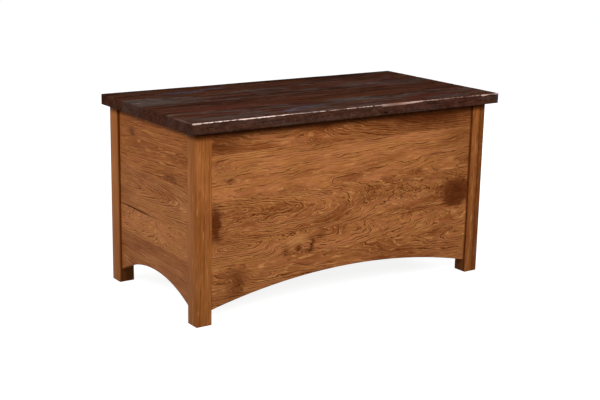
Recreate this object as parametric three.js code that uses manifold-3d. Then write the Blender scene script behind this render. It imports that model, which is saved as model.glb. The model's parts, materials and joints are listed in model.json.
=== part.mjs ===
// Blanket chest: four square posts, edge-glued panels with arched lower edges, a lapped cedar bottom
// on cleats, and a lid of old planks on three butt hinges, held open by two folding stays.
// Millimetres, +Z up. The front faces -Y, and the origin is on the floor, under the middle of the whole chest.
import * as THREE from 'three';
import { mergeVertices } from 'three/addons/utils/BufferGeometryUtils.js';
import Module from 'manifold-3d';

const wasm = await Module();
wasm.setup();

// Driving sizes
const caseWidth = 956;
const caseDepth = 482;
const overallHeight = 534;
const lidThickness = 28;
const lidSideOverhang = 24.5;
const lidFrontOverhang = 22.5;

// Gaps between pieces
const seatGap = 0.3;
const glueLine = 0.3;
const fitClearance = 0.3;
const cutOverrun = 5;

// Posts
const postSection = 45;
const postEase = 2;

// Walls: edge-glued boards with a tongue on each end
const panelThickness = 19;
const frontRecess = 7;
const endRecess = 7;
const backRecess = 0;
const tongueThickness = 9.5;
const tongueLength = 10;
const footHeight = 37;
const archRise = 53;
const archFacets = 44;

// Where the glued seams lie, from the panel's lower corner to its top
const frontSeamShares = [0.235, 0.367, 0.603, 0.861];
const endSeamShares = [0.264, 0.422, 0.667, 0.846];
const backSeamShares = [0.27, 0.52, 0.76];

// Bottom and its cleats
const cleatSection = 19;
const cleatEase = 2;
const cleatAboveArch = 4;
const endCleatShortening = 6;
const bottomThickness = 12.7;
const bottomBoardCount = 6;
const bottomClearance = 0.8;
const lapWidth = 6;

// Lid planks, from the front one to the back one
const lidPlankShares = [0.27, 0.24, 0.245, 0.245];
const plankEndEase = 2;
const seamWear = 0.5;
const deepestWear = 9;

// The worn front arris: how far along the lid, and how deep the wear goes there
const wearPlaceShares = [0, 0.022, 0.026, 0.11, 0.15, 0.2, 0.3, 0.45, 0.574, 0.58, 0.62, 0.66, 0.72, 0.85, 0.93,
  0.937, 0.948, 0.955, 0.985, 1];
const wearDepthShares = [0.9, 0.8, 0.35, 0.32, 0.55, 0.45, 0.25, 0.22, 0.24, 0.95, 1, 0.8, 0.4, 0.26, 0.24,
  0.75, 0.7, 0.3, 0.45, 0.8];

// Battens under the lid
const battenWidth = 60;
const battenThickness = 18;
const battenEase = 5;
const battenFrontClearance = 22;
const battenBackClearance = 20;
const battenPlaceShares = [-0.74, 0, 0.74];

// Butt hinges
const hingePlaceShares = [-0.76, 0, 0.76];
const leafLength = 63.5;
const leafThickness = 2;
const leafInlay = 16;
const knuckleCount = 5;
const knuckleRadius = 4;
const knuckleGap = 0.3;
const barrelBehindCase = 0.3;
const pinRadius = 2;
const pinClearance = 0.1;
const pinHeadRadius = 3.4;
const pinHeadThickness = 1.6;
const pinTipLength = 1.2;
const leafScrewRadius = 2.2;
const leafScrewHeadRadius = 4;
const leafScrewPlaceShares = [-0.35, 0, 0.35];

// Folding stays. The pivots are measured from the hinge axis: forward into the chest, and down.
// Hinge, lid pivot, knee and case pivot are the corners of a parallelogram, so the arms stay joined.
const casePivotForward = 39;
const casePivotDown = 170;
const lidPivotForward = 250;
const lidPivotDown = 13;
const armWidth = 12;
const armThickness = 2;
const armGap = 0.4;
const rivetRadius = 3;
const rivetClearance = 0.4;
const rivetHeadRadius = 5.5;
const rivetHeadThickness = 1.5;
const bracketThickness = 2;
const bracketCornerEase = 2;
const caseBracketWidth = 18;
const caseBracketLength = 64;
const lidBracketLength = 44;
const lidBracketWidth = 24;
const earTipRadius = 8;
const bracketScrewRadius = 2.1;
const bracketScrewSpacing = 42;
const lidBracketScrewSpacing = 28;
const stopNose = 14;
const stopTabLength = 6;
const stopTabThickness = 2;
const lidOpenAngle = THREE.MathUtils.degToRad(95);

// Roundness of turned and drilled shapes
const holeFacets = 20;
const rivetFacets = 24;

// Levels and planes worked out from the sizes above
const halfWidth = caseWidth / 2;
const halfDepth = caseDepth / 2;
const lidUnderside = overallHeight - lidThickness;
const caseHeight = lidUnderside - seatGap;
const innerHalfWidth = halfWidth - endRecess - panelThickness;
const innerFront = -halfDepth + frontRecess + panelThickness;
const innerBack = halfDepth - backRecess - panelThickness;
const cleatBottom = footHeight + archRise + cleatAboveArch;
const bottomUnderside = cleatBottom + cleatSection + seatGap;
const hingeAxisY = halfDepth + barrelBehindCase + knuckleRadius;
const hingeAxisZ = caseHeight + seatGap / 2;
const lidFrontY = -halfDepth - lidFrontOverhang;
const lidHalfWidth = halfWidth + lidSideOverhang;

const chest = new THREE.Group();
chest.position.y = (halfDepth + lidFrontOverhang - hingeAxisY - knuckleRadius) / 2;

const panelWood = new THREE.MeshStandardMaterial({ color: '#8d5a36', roughness: 0.5 });
const postWood = new THREE.MeshStandardMaterial({ color: '#8f5831', roughness: 0.5 });
const lidWood = new THREE.MeshStandardMaterial({ color: '#48302a', roughness: 0.55 });
const cedar = new THREE.MeshStandardMaterial({ color: '#b07a52', roughness: 0.75 });
const poplar = new THREE.MeshStandardMaterial({ color: '#9a7350', roughness: 0.7 });
const brass = new THREE.MeshStandardMaterial({ color: '#a88a4e', roughness: 0.35, metalness: 1 });
const zincSteel = new THREE.MeshStandardMaterial({ color: '#a9a9a6', roughness: 0.4, metalness: 1 });

// Turns a closed mesh into a solid that can be cut and joined
function solidFrom(geometry) {
  const bare = geometry.index ? geometry.toNonIndexed() : geometry.clone();
  bare.deleteAttribute('normal');
  bare.deleteAttribute('uv');
  const merged = mergeVertices(bare);
  const vertProperties = new Float32Array(merged.attributes.position.array);
  const triVerts = new Uint32Array(merged.index.array);
  return new wasm.Manifold(new wasm.Mesh({ numProp: 3, vertProperties, triVerts }));
}

function geometryFrom(solid) {
  const cut = solid.getMesh();
  const geometry = new THREE.BufferGeometry();
  geometry.setAttribute('position', new THREE.BufferAttribute(new Float32Array(cut.vertProperties), 3));
  geometry.setIndex(new THREE.BufferAttribute(new Uint32Array(cut.triVerts), 1));
  const flat = geometry.toNonIndexed();
  flat.computeVertexNormals();
  return flat;
}

function addPiece(name, geometry, material, parent = chest) {
  const mesh = new THREE.Mesh(geometry, material);
  mesh.name = name;
  parent.add(mesh);
}

// A box between two corners given in any order
function block(xs, ys, zs) {
  const size = [xs, ys, zs].map(([a, b]) => Math.abs(b - a));
  const geometry = new THREE.BoxGeometry(...size);
  geometry.translate((xs[0] + xs[1]) / 2, (ys[0] + ys[1]) / 2, (zs[0] + zs[1]) / 2);
  return geometry;
}

function outline(points) {
  return new THREE.Shape(points.map(([a, b]) => new THREE.Vector2(a, b)));
}

// An outline in X and Y, raised from one level to another
function uprightPrism(shape, low, high) {
  const geometry = new THREE.ExtrudeGeometry(shape, { depth: high - low, bevelEnabled: false });
  geometry.translate(0, 0, low);
  return geometry;
}

// An outline in X and Z, run from one Y to another
function prismAlongY(shape, near, far, curveSegments = 1) {
  const geometry = new THREE.ExtrudeGeometry(shape, { depth: far - near, bevelEnabled: false, curveSegments });
  geometry.rotateX(Math.PI / 2);
  geometry.translate(0, far, 0);
  return geometry;
}

// An outline in Y and Z, run from one X to another
function prismAlongX(shape, ends, curveSegments = 1) {
  const low = Math.min(...ends);
  const depth = Math.abs(ends[1] - ends[0]);
  const geometry = new THREE.ExtrudeGeometry(shape, { depth, bevelEnabled: false, curveSegments });
  geometry.applyMatrix4(new THREE.Matrix4().set(0, 0, 1, low, 1, 0, 0, 0, 0, 1, 0, 0, 0, 0, 0, 1));
  return geometry;
}

function cylinderAlongX(radius, ends, y, z, facets = rivetFacets) {
  const geometry = new THREE.CylinderGeometry(radius, radius, Math.abs(ends[1] - ends[0]), facets);
  geometry.rotateZ(Math.PI / 2);
  geometry.translate((ends[0] + ends[1]) / 2, y, z);
  return geometry;
}

// A square stick's outline with its four corners cut off
function easedRectangle(a, b, ease) {
  const [a0, a1] = a;
  const [b0, b1] = b;
  return outline([[a0 + ease, b0], [a1 - ease, b0], [a1, b0 + ease], [a1, b1 - ease],
    [a1 - ease, b1], [a0 + ease, b1], [a0, b1 - ease], [a0, b0 + ease]]);
}

// Posts: eased all round, with a stopped groove for each of the two walls that meet in them
const tongueInset = (panelThickness - tongueThickness) / 2;

function makePost(name, sideX, sideY, wallRecess) {
  const acrossX = (inward) => sideX * (halfWidth - inward);
  const acrossY = (inward) => sideY * (halfDepth - inward);
  const middleX = acrossX(postSection / 2);
  const middleY = acrossY(postSection / 2);
  const shape = easedRectangle([-postSection / 2, postSection / 2], [-postSection / 2, postSection / 2], postEase);
  const stick = new THREE.ExtrudeGeometry(shape, {
    depth: caseHeight - 2 * postEase,
    bevelThickness: postEase,
    bevelSize: postEase,
    bevelOffset: -postEase,
    bevelSegments: 1,
  });
  stick.translate(middleX, middleY, postEase);
  const grooveBottom = footHeight - fitClearance;
  const grooveLevels = [grooveBottom, caseHeight + cutOverrun];
  const deepest = postSection - tongueLength - fitClearance;
  const open = postSection + cutOverrun;
  const cheeks = (recess) => [recess + tongueInset - fitClearance,
    recess + tongueInset + tongueThickness + fitClearance];
  const longWall = cheeks(wallRecess).map(acrossY);
  const endWall = cheeks(endRecess).map(acrossX);
  const longGroove = block([deepest, open].map(acrossX), longWall, grooveLevels);
  const endGroove = block(endWall, [deepest, open].map(acrossY), grooveLevels);
  const post = solidFrom(stick).subtract(solidFrom(longGroove)).subtract(solidFrom(endGroove));
  addPiece(name, geometryFrom(post), postWood);
}

makePost('post_front_left', -1, -1, frontRecess);
makePost('post_front_right', 1, -1, frontRecess);
makePost('post_back_left', -1, 1, backRecess);
makePost('post_back_right', 1, 1, backRecess);

// A wall stands in its own frame: X along it, Y inwards from its outer face, Z up
function wallGroup(x, y, turn) {
  const wall = new THREE.Group();
  wall.position.set(x, y, 0);
  wall.rotation.z = turn;
  chest.add(wall);
  return wall;
}

function boardOutline(shoulder) {
  const tip = shoulder + tongueLength;
  const near = tongueInset;
  const far = tongueInset + tongueThickness;
  return outline([[-shoulder, 0], [shoulder, 0], [shoulder, near], [tip, near], [tip, far], [shoulder, far],
    [shoulder, panelThickness], [-shoulder, panelThickness], [-shoulder, far], [-tip, far], [-tip, near],
    [-shoulder, near]]);
}

// The round-topped space under a wall, from shoulder to shoulder
function archSolid(shoulder) {
  const radius = (shoulder * shoulder + archRise * archRise) / (2 * archRise);
  const centre = footHeight + archRise - radius;
  const sweep = Math.asin(shoulder / radius);
  const shape = new THREE.Shape();
  shape.moveTo(-shoulder, -cutOverrun);
  shape.lineTo(-shoulder, footHeight);
  shape.absarc(0, centre, radius, Math.PI / 2 + sweep, Math.PI / 2 - sweep, true);
  shape.lineTo(shoulder, -cutOverrun);
  return solidFrom(prismAlongY(shape, -cutOverrun, panelThickness + cutOverrun, archFacets));
}

function makeWall(prefix, wall, span, seamShares, gains) {
  const shoulder = span / 2 - fitClearance;
  const arch = archSolid(shoulder);
  const archTop = footHeight + archRise;
  const levels = [0, ...seamShares, 1].map((share) => footHeight + share * (caseHeight - footHeight));
  const count = levels.length - 1;
  for (let row = 0; row < count; row += 1) {
    const low = row === 0 ? levels[row] : levels[row] + glueLine / 2;
    const high = row === count - 1 ? levels[row + 1] : levels[row + 1] - glueLine / 2;
    let board = solidFrom(uprightPrism(boardOutline(shoulder), low, high));
    if (low < archTop) board = board.subtract(arch);
    if (row === count - 1) gains.forEach((gain) => { board = board.subtract(gain); });
    addPiece(`${prefix}_board_${count - row}`, geometryFrom(board), panelWood, wall);
  }
}

// Hinges: five knuckles on one axis, and two leaves let in flush with the wood
const hingeHalfLength = leafLength / 2;
const hingePlaces = hingePlaceShares.map((share) => share * (halfWidth - postSection - hingeHalfLength));
const gainDepth = leafThickness + fitClearance;
const gainReach = leafInlay + fitClearance;

// The shallow recess that a leaf lies in, as seen from the wood it is cut into
function gainSolid(place, ys, zs) {
  const reach = hingeHalfLength + fitClearance;
  return solidFrom(block([place - reach, place + reach], ys, zs));
}

const halfTurn = Math.PI;
const quarterTurn = Math.PI / 2;
const longSpan = caseWidth - 2 * postSection;
const endSpan = caseDepth - 2 * postSection;
const caseGains = hingePlaces.map((place) => gainSolid(-place, [backRecess - cutOverrun, gainReach],
  [caseHeight - gainDepth, caseHeight + cutOverrun]));

const frontWall = wallGroup(0, -halfDepth + frontRecess, 0);
const backWall = wallGroup(0, halfDepth - backRecess, halfTurn);
const leftWall = wallGroup(-halfWidth + endRecess, 0, -quarterTurn);
const rightWall = wallGroup(halfWidth - endRecess, 0, quarterTurn);
makeWall('front', frontWall, longSpan, frontSeamShares, []);
makeWall('back', backWall, longSpan, backSeamShares, caseGains);
makeWall('left_end', leftWall, endSpan, endSeamShares, []);
makeWall('right_end', rightWall, endSpan, endSeamShares, []);

// Cleats: eased sticks along the inside of each wall, just above the arches
function makeCleat(name, wall, halfLength) {
  const near = panelThickness + seatGap;
  const shape = easedRectangle([near, near + cleatSection], [cleatBottom, cleatBottom + cleatSection], cleatEase);
  addPiece(name, prismAlongX(shape, [-halfLength, halfLength]), poplar, wall);
}

makeCleat('cleat_front', frontWall, longSpan / 2 - fitClearance);
makeCleat('cleat_back', backWall, longSpan / 2 - fitClearance);
makeCleat('cleat_left', leftWall, endSpan / 2 - endCleatShortening);
makeCleat('cleat_right', rightWall, endSpan / 2 - endCleatShortening);

// Bottom: boards from front to back with half-lapped edges, the outer ones notched round the posts
const bottomStart = -innerHalfWidth + bottomClearance;
const bottomPitch = 2 * (innerHalfWidth - bottomClearance) / bottomBoardCount;
const bottomFront = innerFront + bottomClearance;
const bottomBack = innerBack - bottomClearance;

function postNotch(sideX, sideY) {
  const notchX = sideX * (halfWidth - postSection - bottomClearance);
  const notchY = sideY * (halfDepth - postSection - bottomClearance);
  const outside = block([notchX, sideX * (innerHalfWidth + cutOverrun)], [notchY, sideY * halfDepth],
    [bottomUnderside - cutOverrun, bottomUnderside + bottomThickness + cutOverrun]);
  return solidFrom(outside);
}

const notches = [[-1, -1], [1, -1], [-1, 1], [1, 1]].map(([x, y]) => postNotch(x, y));

function lappedOutline(left, right, isFirst, isLast) {
  const top = bottomUnderside + bottomThickness;
  const middle = bottomUnderside + bottomThickness / 2;
  const leftTop = isFirst ? left : left + glueLine / 2;
  const leftLow = isFirst ? left : left + glueLine / 2 + lapWidth;
  const rightTop = isLast ? right : right - glueLine / 2;
  const rightLow = isLast ? right : right - glueLine / 2 + lapWidth;
  const leftStep = isFirst ? middle : middle + glueLine / 2;
  const rightStep = isLast ? middle : middle - glueLine / 2;
  const points = [[leftLow, bottomUnderside], [rightLow, bottomUnderside], [rightLow, rightStep],
    [rightTop, rightStep], [rightTop, top], [leftTop, top], [leftTop, leftStep], [leftLow, leftStep]];
  return outline(points.filter(([a, b], i) => {
    const [c, d] = points[(i + 1) % points.length];
    return a !== c || b !== d;
  }));
}

for (let i = 0; i < bottomBoardCount; i += 1) {
  const left = bottomStart + i * bottomPitch;
  const shape = lappedOutline(left, left + bottomPitch, i === 0, i === bottomBoardCount - 1);
  let board = solidFrom(prismAlongY(shape, bottomFront, bottomBack));
  notches.forEach((notch) => { board = board.subtract(notch); });
  addPiece(`bottom_board_${i + 1}`, geometryFrom(board), cedar);
}

// A lid plank is lofted along X from a row of cross-sections, so that its front arris can wear unevenly.
// Each station has its place along the lid, how far its top drops, and how deep its front arris is worn.
function loftedPlank(front, back, stations) {
  const cornerCount = 5;
  const positions = [];
  stations.forEach(({ x, drop, wear }) => {
    const top = overallHeight - drop;
    positions.push(x, front, lidUnderside, x, back, lidUnderside, x, back, top);
    positions.push(x, front + wear, top, x, front, top - wear);
  });
  const index = [];
  for (let i = 0; i < stations.length - 1; i += 1) {
    for (let k = 0; k < cornerCount; k += 1) {
      const a = i * cornerCount + k;
      const b = i * cornerCount + (k + 1) % cornerCount;
      index.push(a, b, a + cornerCount, b, b + cornerCount, a + cornerCount);
    }
  }
  const last = (stations.length - 1) * cornerCount;
  for (let k = 1; k < cornerCount - 1; k += 1) {
    index.push(0, k + 1, k);
    index.push(last, last + k, last + k + 1);
  }
  const geometry = new THREE.BufferGeometry();
  geometry.setAttribute('position', new THREE.Float32BufferAttribute(positions, 3));
  geometry.setIndex(index);
  return geometry;
}

function plankStations(betweenShares, wearAt) {
  const ends = [0, plankEndEase / (2 * lidHalfWidth)];
  const shares = [...ends, ...betweenShares, ...ends.map((share) => 1 - share).reverse()];
  return shares.map((share) => ({
    x: (share - 1 / 2) * 2 * lidHalfWidth,
    drop: share === 0 || share === 1 ? plankEndEase : 0,
    wear: wearAt(share),
  }));
}

function frontWear(share) {
  const next = Math.max(1, wearPlaceShares.findIndex((place) => place >= share));
  const span = wearPlaceShares[next] - wearPlaceShares[next - 1];
  const way = (share - wearPlaceShares[next - 1]) / span;
  return deepestWear * THREE.MathUtils.lerp(wearDepthShares[next - 1], wearDepthShares[next], way);
}

const lidDepth = halfDepth - lidFrontY;
const lidGains = hingePlaces.map((place) => gainSolid(place, [halfDepth - gainReach, halfDepth + cutOverrun],
  [lidUnderside - cutOverrun, lidUnderside + gainDepth]));
let plankEdge = lidFrontY;
lidPlankShares.forEach((share, i) => {
  const isFront = i === 0;
  const isBack = i === lidPlankShares.length - 1;
  const front = isFront ? plankEdge : plankEdge + glueLine / 2;
  plankEdge += share * lidDepth;
  const back = isBack ? halfDepth : plankEdge - glueLine / 2;
  const stations = isFront
    ? plankStations(wearPlaceShares.slice(1, -1), frontWear)
    : plankStations([], () => seamWear);
  let plank = solidFrom(loftedPlank(front, back, stations));
  if (isBack) lidGains.forEach((gain) => { plank = plank.subtract(gain); });
  addPiece(`lid_plank_${i + 1}`, geometryFrom(plank), lidWood);
});

// Battens: flat sticks across the planks, clear of the walls, with bevelled ends and edges below
function makeBatten(name, middle) {
  const top = lidUnderside - seatGap;
  const low = top - battenThickness;
  const front = innerFront + battenFrontClearance;
  const back = innerBack - battenBackClearance;
  const left = middle - battenWidth / 2;
  const right = middle + battenWidth / 2;
  const lengthwise = outline([[front + battenEase, low], [back - battenEase, low], [back, low + battenEase],
    [back, top], [front, top], [front, low + battenEase]]);
  const crosswise = outline([[left + battenEase, low], [right - battenEase, low], [right, low + battenEase],
    [right, top], [left, top], [left, low + battenEase]]);
  const long = solidFrom(prismAlongX(lengthwise, [left, right]));
  const across = solidFrom(prismAlongY(crosswise, front, back));
  addPiece(name, geometryFrom(long.intersect(across)), poplar);
}

const battenReach = halfWidth - postSection - battenWidth / 2;
makeBatten('lid_batten_left', battenPlaceShares[0] * battenReach);
makeBatten('lid_batten_middle', battenPlaceShares[1] * battenReach);
makeBatten('lid_batten_right', battenPlaceShares[2] * battenReach);

// One hinge: the case leaf has the outer and middle knuckles, and the lid leaf the two between them
const knucklePitch = leafLength / knuckleCount;
const boreFacets = 24;
const boreRadius = (pinRadius + pinClearance) / Math.cos(Math.PI / boreFacets);

function knuckleEnds(place, i, growth) {
  const start = place - hingeHalfLength + i * knucklePitch;
  return [start + knuckleGap / 2 - growth, start + knucklePitch - knuckleGap / 2 + growth];
}

function makeLeaf(name, place, plateLevels, ownKnuckles, screwFace) {
  const ends = [place - hingeHalfLength, place + hingeHalfLength];
  let leaf = solidFrom(block(ends, [halfDepth - leafInlay, hingeAxisY], plateLevels));
  for (let i = 0; i < knuckleCount; i += 1) {
    if (!ownKnuckles(i)) {
      const room = cylinderAlongX(knuckleRadius + fitClearance, knuckleEnds(place, i, knuckleGap), hingeAxisY,
        hingeAxisZ);
      const behind = block(knuckleEnds(place, i, knuckleGap), [hingeAxisY - knuckleRadius, hingeAxisY + cutOverrun],
        [hingeAxisZ - knuckleRadius, hingeAxisZ + knuckleRadius]);
      leaf = leaf.subtract(solidFrom(room)).subtract(solidFrom(behind));
    }
  }
  for (let i = 0; i < knuckleCount; i += 1) {
    if (ownKnuckles(i)) {
      const barrel = cylinderAlongX(knuckleRadius, knuckleEnds(place, i, 0), hingeAxisY, hingeAxisZ);
      leaf = leaf.add(solidFrom(barrel));
    }
  }
  const bore = cylinderAlongX(boreRadius, [ends[0] - cutOverrun, ends[1] + cutOverrun], hingeAxisY, hingeAxisZ,
    boreFacets);
  leaf = leaf.subtract(solidFrom(bore));
  const away = Math.sign(screwFace - hingeAxisZ);
  const middle = (plateLevels[0] + plateLevels[1]) / 2;
  leafScrewPlaceShares.forEach((share) => {
    const hole = new THREE.CylinderGeometry(leafScrewRadius, leafScrewRadius, 2 * cutOverrun, holeFacets);
    const mouth = new THREE.CylinderGeometry(leafScrewHeadRadius, leafScrewRadius, leafThickness, holeFacets);
    hole.rotateX(Math.PI / 2);
    mouth.rotateX(away > 0 ? -Math.PI / 2 : Math.PI / 2);
    const x = place + share * leafLength;
    const y = halfDepth - leafInlay / 2;
    hole.translate(x, y, middle);
    mouth.translate(x, y, middle);
    leaf = leaf.subtract(solidFrom(hole)).subtract(solidFrom(mouth));
  });
  addPiece(name, geometryFrom(leaf), brass);
}

function makePin(name, place) {
  const head = place - hingeHalfLength;
  const tip = place + hingeHalfLength + pinTipLength;
  const profile = [[0, head - pinHeadThickness], [pinHeadRadius * 0.7, head - pinHeadThickness],
    [pinHeadRadius, head - pinHeadThickness / 2], [pinHeadRadius, head], [pinRadius, head],
    [pinRadius, tip - pinTipLength / 2], [pinRadius / 2, tip], [0, tip]];
  const pin = new THREE.LatheGeometry(profile.map(([r, x]) => new THREE.Vector2(r, x)), rivetFacets);
  pin.rotateZ(-Math.PI / 2);
  pin.translate(0, hingeAxisY, hingeAxisZ);
  addPiece(name, geometryFrom(solidFrom(pin)), brass);
}

['left', 'middle', 'right'].forEach((side, i) => {
  const isOuter = (k) => k % 2 === 0;
  const isInner = (k) => k % 2 === 1;
  const caseLevels = [caseHeight - leafThickness, caseHeight];
  const lidLevels = [lidUnderside, lidUnderside + leafThickness];
  makeLeaf(`hinge_${side}_case_leaf`, hingePlaces[i], caseLevels, isOuter, caseHeight + leafThickness);
  makeLeaf(`hinge_${side}_lid_leaf`, hingePlaces[i], lidLevels, isInner, lidUnderside - leafThickness);
  makePin(`hinge_${side}_pin`, hingePlaces[i]);
});

// Folding stays. Pivots as points in Y and Z, with the lid closed
const hingePoint = new THREE.Vector2(hingeAxisY, hingeAxisZ);
const casePivot = new THREE.Vector2(hingeAxisY - casePivotForward, hingeAxisZ - casePivotDown);
const lidPivot = new THREE.Vector2(hingeAxisY - lidPivotForward, hingeAxisZ - lidPivotDown);
const kneePivot = casePivot.clone().add(lidPivot).sub(hingePoint);

// Planes across a stay, counted from the post's inner face into the chest
const caseBracketPlane = [seatGap, seatGap + bracketThickness];
const lowerArmPlane = [caseBracketPlane[1] + armGap, caseBracketPlane[1] + armGap + armThickness];
const upperArmPlane = [lowerArmPlane[1] + armGap, lowerArmPlane[1] + armGap + armThickness];
const earPlane = [upperArmPlane[1] + armGap, upperArmPlane[1] + armGap + bracketThickness];

function roundEndedBar(from, to, radius) {
  const along = Math.atan2(to.y - from.y, to.x - from.x);
  const shape = new THREE.Shape();
  shape.absarc(from.x, from.y, radius, along + Math.PI / 2, along + 3 * Math.PI / 2, false);
  shape.absarc(to.x, to.y, radius, along - Math.PI / 2, along + Math.PI / 2, false);
  return shape;
}

function rivet(across, from, to, point) {
  const shank = cylinderAlongX(rivetRadius, [across(from), across(to)], point.x, point.y);
  const way = Math.sign(to - from);
  const headFrom = to - way * rivetHeadThickness;
  const head = cylinderAlongX(rivetHeadRadius, [across(headFrom), across(to)], point.x, point.y);
  return solidFrom(shank).add(solidFrom(head));
}

function rivetHole(across, plane, point) {
  const radius = (rivetRadius + rivetClearance) / Math.cos(Math.PI / rivetFacets);
  const ends = [across(plane[0] - cutOverrun), across(plane[1] + cutOverrun)];
  return solidFrom(cylinderAlongX(radius, ends, point.x, point.y));
}

const armRadius = armWidth / 2;
const armCurveFacets = 8;
const headRise = armGap + rivetHeadThickness;

function makeCaseBracket(name, across) {
  const ys = [casePivot.x - caseBracketWidth / 2, casePivot.x + caseBracketWidth / 2];
  const zs = [casePivot.y - caseBracketLength / 2, casePivot.y + caseBracketLength / 2];
  const plate = prismAlongX(easedRectangle(ys, zs, bracketCornerEase), caseBracketPlane.map(across));
  let bracket = solidFrom(plate).add(rivet(across, caseBracketPlane[0], lowerArmPlane[1] + headRise, casePivot));
  [-1, 1].forEach((way) => {
    const z = casePivot.y + way * bracketScrewSpacing / 2;
    const ends = [across(caseBracketPlane[0] - cutOverrun), across(caseBracketPlane[1] + cutOverrun)];
    bracket = bracket.subtract(solidFrom(cylinderAlongX(bracketScrewRadius, ends, casePivot.x, z, holeFacets)));
  });
  addPiece(name, geometryFrom(bracket), zincSteel);
}

// The lower arm carries the knee's rivet, and a nose with a bent tab that stops the upper arm
function makeLowerArm(name, across) {
  const bar = prismAlongX(roundEndedBar(casePivot, kneePivot, armRadius), lowerArmPlane.map(across), armCurveFacets);
  const along = kneePivot.clone().sub(casePivot).normalize();
  const below = new THREE.Vector2(-along.y, along.x);
  const openLean = Math.atan2(kneePivot.y - casePivot.y, casePivot.x - kneePivot.x) + lidOpenAngle
    - Math.atan2(casePivotDown, -casePivotForward);
  const tabStart = stopNose - stopTabLength;
  const tabTop = armRadius / Math.cos(openLean) - tabStart * Math.tan(Math.abs(openLean)) + fitClearance;
  const tabLow = tabTop + stopTabThickness;
  const corner = (forward, down) => [kneePivot.x + forward * along.x + down * below.x,
    kneePivot.y + forward * along.y + down * below.y];
  const noseShape = outline([corner(0, -armRadius / 2), corner(stopNose, -armRadius / 2), corner(stopNose, tabLow),
    corner(0, tabLow)]);
  const tabShape = outline([corner(tabStart, tabTop), corner(stopNose, tabTop), corner(stopNose, tabLow),
    corner(tabStart, tabLow)]);
  const nose = prismAlongX(noseShape, lowerArmPlane.map(across));
  const tab = prismAlongX(tabShape, [across(lowerArmPlane[0]), across(upperArmPlane[1])]);
  const arm = solidFrom(bar).add(solidFrom(nose)).add(solidFrom(tab))
    .add(rivet(across, lowerArmPlane[0], upperArmPlane[1] + headRise, kneePivot))
    .subtract(rivetHole(across, lowerArmPlane, casePivot));
  addPiece(name, geometryFrom(arm), zincSteel);
}

function makeUpperArm(name, across) {
  const bar = prismAlongX(roundEndedBar(kneePivot, lidPivot, armRadius), upperArmPlane.map(across), armCurveFacets);
  const arm = solidFrom(bar)
    .subtract(rivetHole(across, upperArmPlane, kneePivot))
    .subtract(rivetHole(across, upperArmPlane, lidPivot));
  addPiece(name, geometryFrom(arm), zincSteel);
}

// The lid bracket is an angle: a plate screwed up under the lid, and an ear that tapers to the pivot
function makeLidBracket(name, across) {
  const top = lidUnderside - seatGap;
  const low = top - bracketThickness;
  const ys = [lidPivot.x - lidBracketLength / 2, lidPivot.x + lidBracketLength / 2];
  const plate = block([across(earPlane[0]), across(earPlane[0] + lidBracketWidth)], ys, [low, top]);
  const earShape = new THREE.Shape();
  earShape.moveTo(ys[0], top);
  earShape.lineTo(ys[0], low);
  earShape.lineTo(lidPivot.x - earTipRadius, lidPivot.y);
  earShape.absarc(lidPivot.x, lidPivot.y, earTipRadius, Math.PI, 2 * Math.PI, false);
  earShape.lineTo(ys[1], low);
  earShape.lineTo(ys[1], top);
  const ear = prismAlongX(earShape, earPlane.map(across), armCurveFacets);
  let bracket = solidFrom(plate).add(solidFrom(ear))
    .add(rivet(across, earPlane[1], upperArmPlane[0] - headRise, lidPivot));
  [-1, 1].forEach((way) => {
    const hole = new THREE.CylinderGeometry(bracketScrewRadius, bracketScrewRadius, 2 * cutOverrun, holeFacets);
    hole.rotateX(Math.PI / 2);
    hole.translate(across(earPlane[1] + lidBracketWidth / 2), lidPivot.x + way * lidBracketScrewSpacing / 2, low);
    bracket = bracket.subtract(solidFrom(hole));
  });
  addPiece(name, geometryFrom(bracket), zincSteel);
}

[['left', -1], ['right', 1]].forEach(([side, sign]) => {
  const across = (inward) => sign * (halfWidth - postSection - inward);
  makeCaseBracket(`stay_${side}_case_bracket`, across);
  makeLowerArm(`stay_${side}_lower_arm`, across);
  makeUpperArm(`stay_${side}_upper_arm`, across);
  makeLidBracket(`stay_${side}_lid_bracket`, across);
});

export default chest;
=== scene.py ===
# %% [markdown]
# A blanket chest: four square posts, brown stained walls of glued boards with arched lower edges, and a
# heavy lid of old hewn planks. The measured frame comes first: every solid of it is in metres, stands where
# the real piece stands, and rides on the part of the chest that it moves with. All that follows adds looks.
# The box of the bare frame is kept, because the finished model has to stay that size.

# %% Load the measured frame
import json
from math import hypot, pi, radians

import bmesh
import bpy
from mathutils import Euler, Matrix, Vector, noise

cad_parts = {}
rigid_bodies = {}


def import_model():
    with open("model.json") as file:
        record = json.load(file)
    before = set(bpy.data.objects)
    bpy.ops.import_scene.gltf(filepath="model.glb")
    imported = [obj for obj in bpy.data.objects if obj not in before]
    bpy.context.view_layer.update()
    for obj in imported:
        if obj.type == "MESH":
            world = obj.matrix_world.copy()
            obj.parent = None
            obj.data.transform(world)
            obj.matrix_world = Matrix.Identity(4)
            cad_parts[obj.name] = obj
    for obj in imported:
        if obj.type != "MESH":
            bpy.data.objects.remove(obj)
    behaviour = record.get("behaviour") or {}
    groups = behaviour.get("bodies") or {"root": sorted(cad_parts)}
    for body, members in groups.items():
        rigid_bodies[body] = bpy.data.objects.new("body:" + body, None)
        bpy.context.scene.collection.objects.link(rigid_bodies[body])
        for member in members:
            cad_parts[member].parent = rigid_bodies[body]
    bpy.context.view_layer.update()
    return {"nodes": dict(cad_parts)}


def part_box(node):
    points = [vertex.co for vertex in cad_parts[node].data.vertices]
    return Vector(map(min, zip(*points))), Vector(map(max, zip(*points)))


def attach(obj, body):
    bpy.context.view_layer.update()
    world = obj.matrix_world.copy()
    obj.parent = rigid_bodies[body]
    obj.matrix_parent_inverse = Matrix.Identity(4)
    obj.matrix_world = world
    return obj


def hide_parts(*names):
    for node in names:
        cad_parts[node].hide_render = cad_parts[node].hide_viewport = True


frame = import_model()
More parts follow.
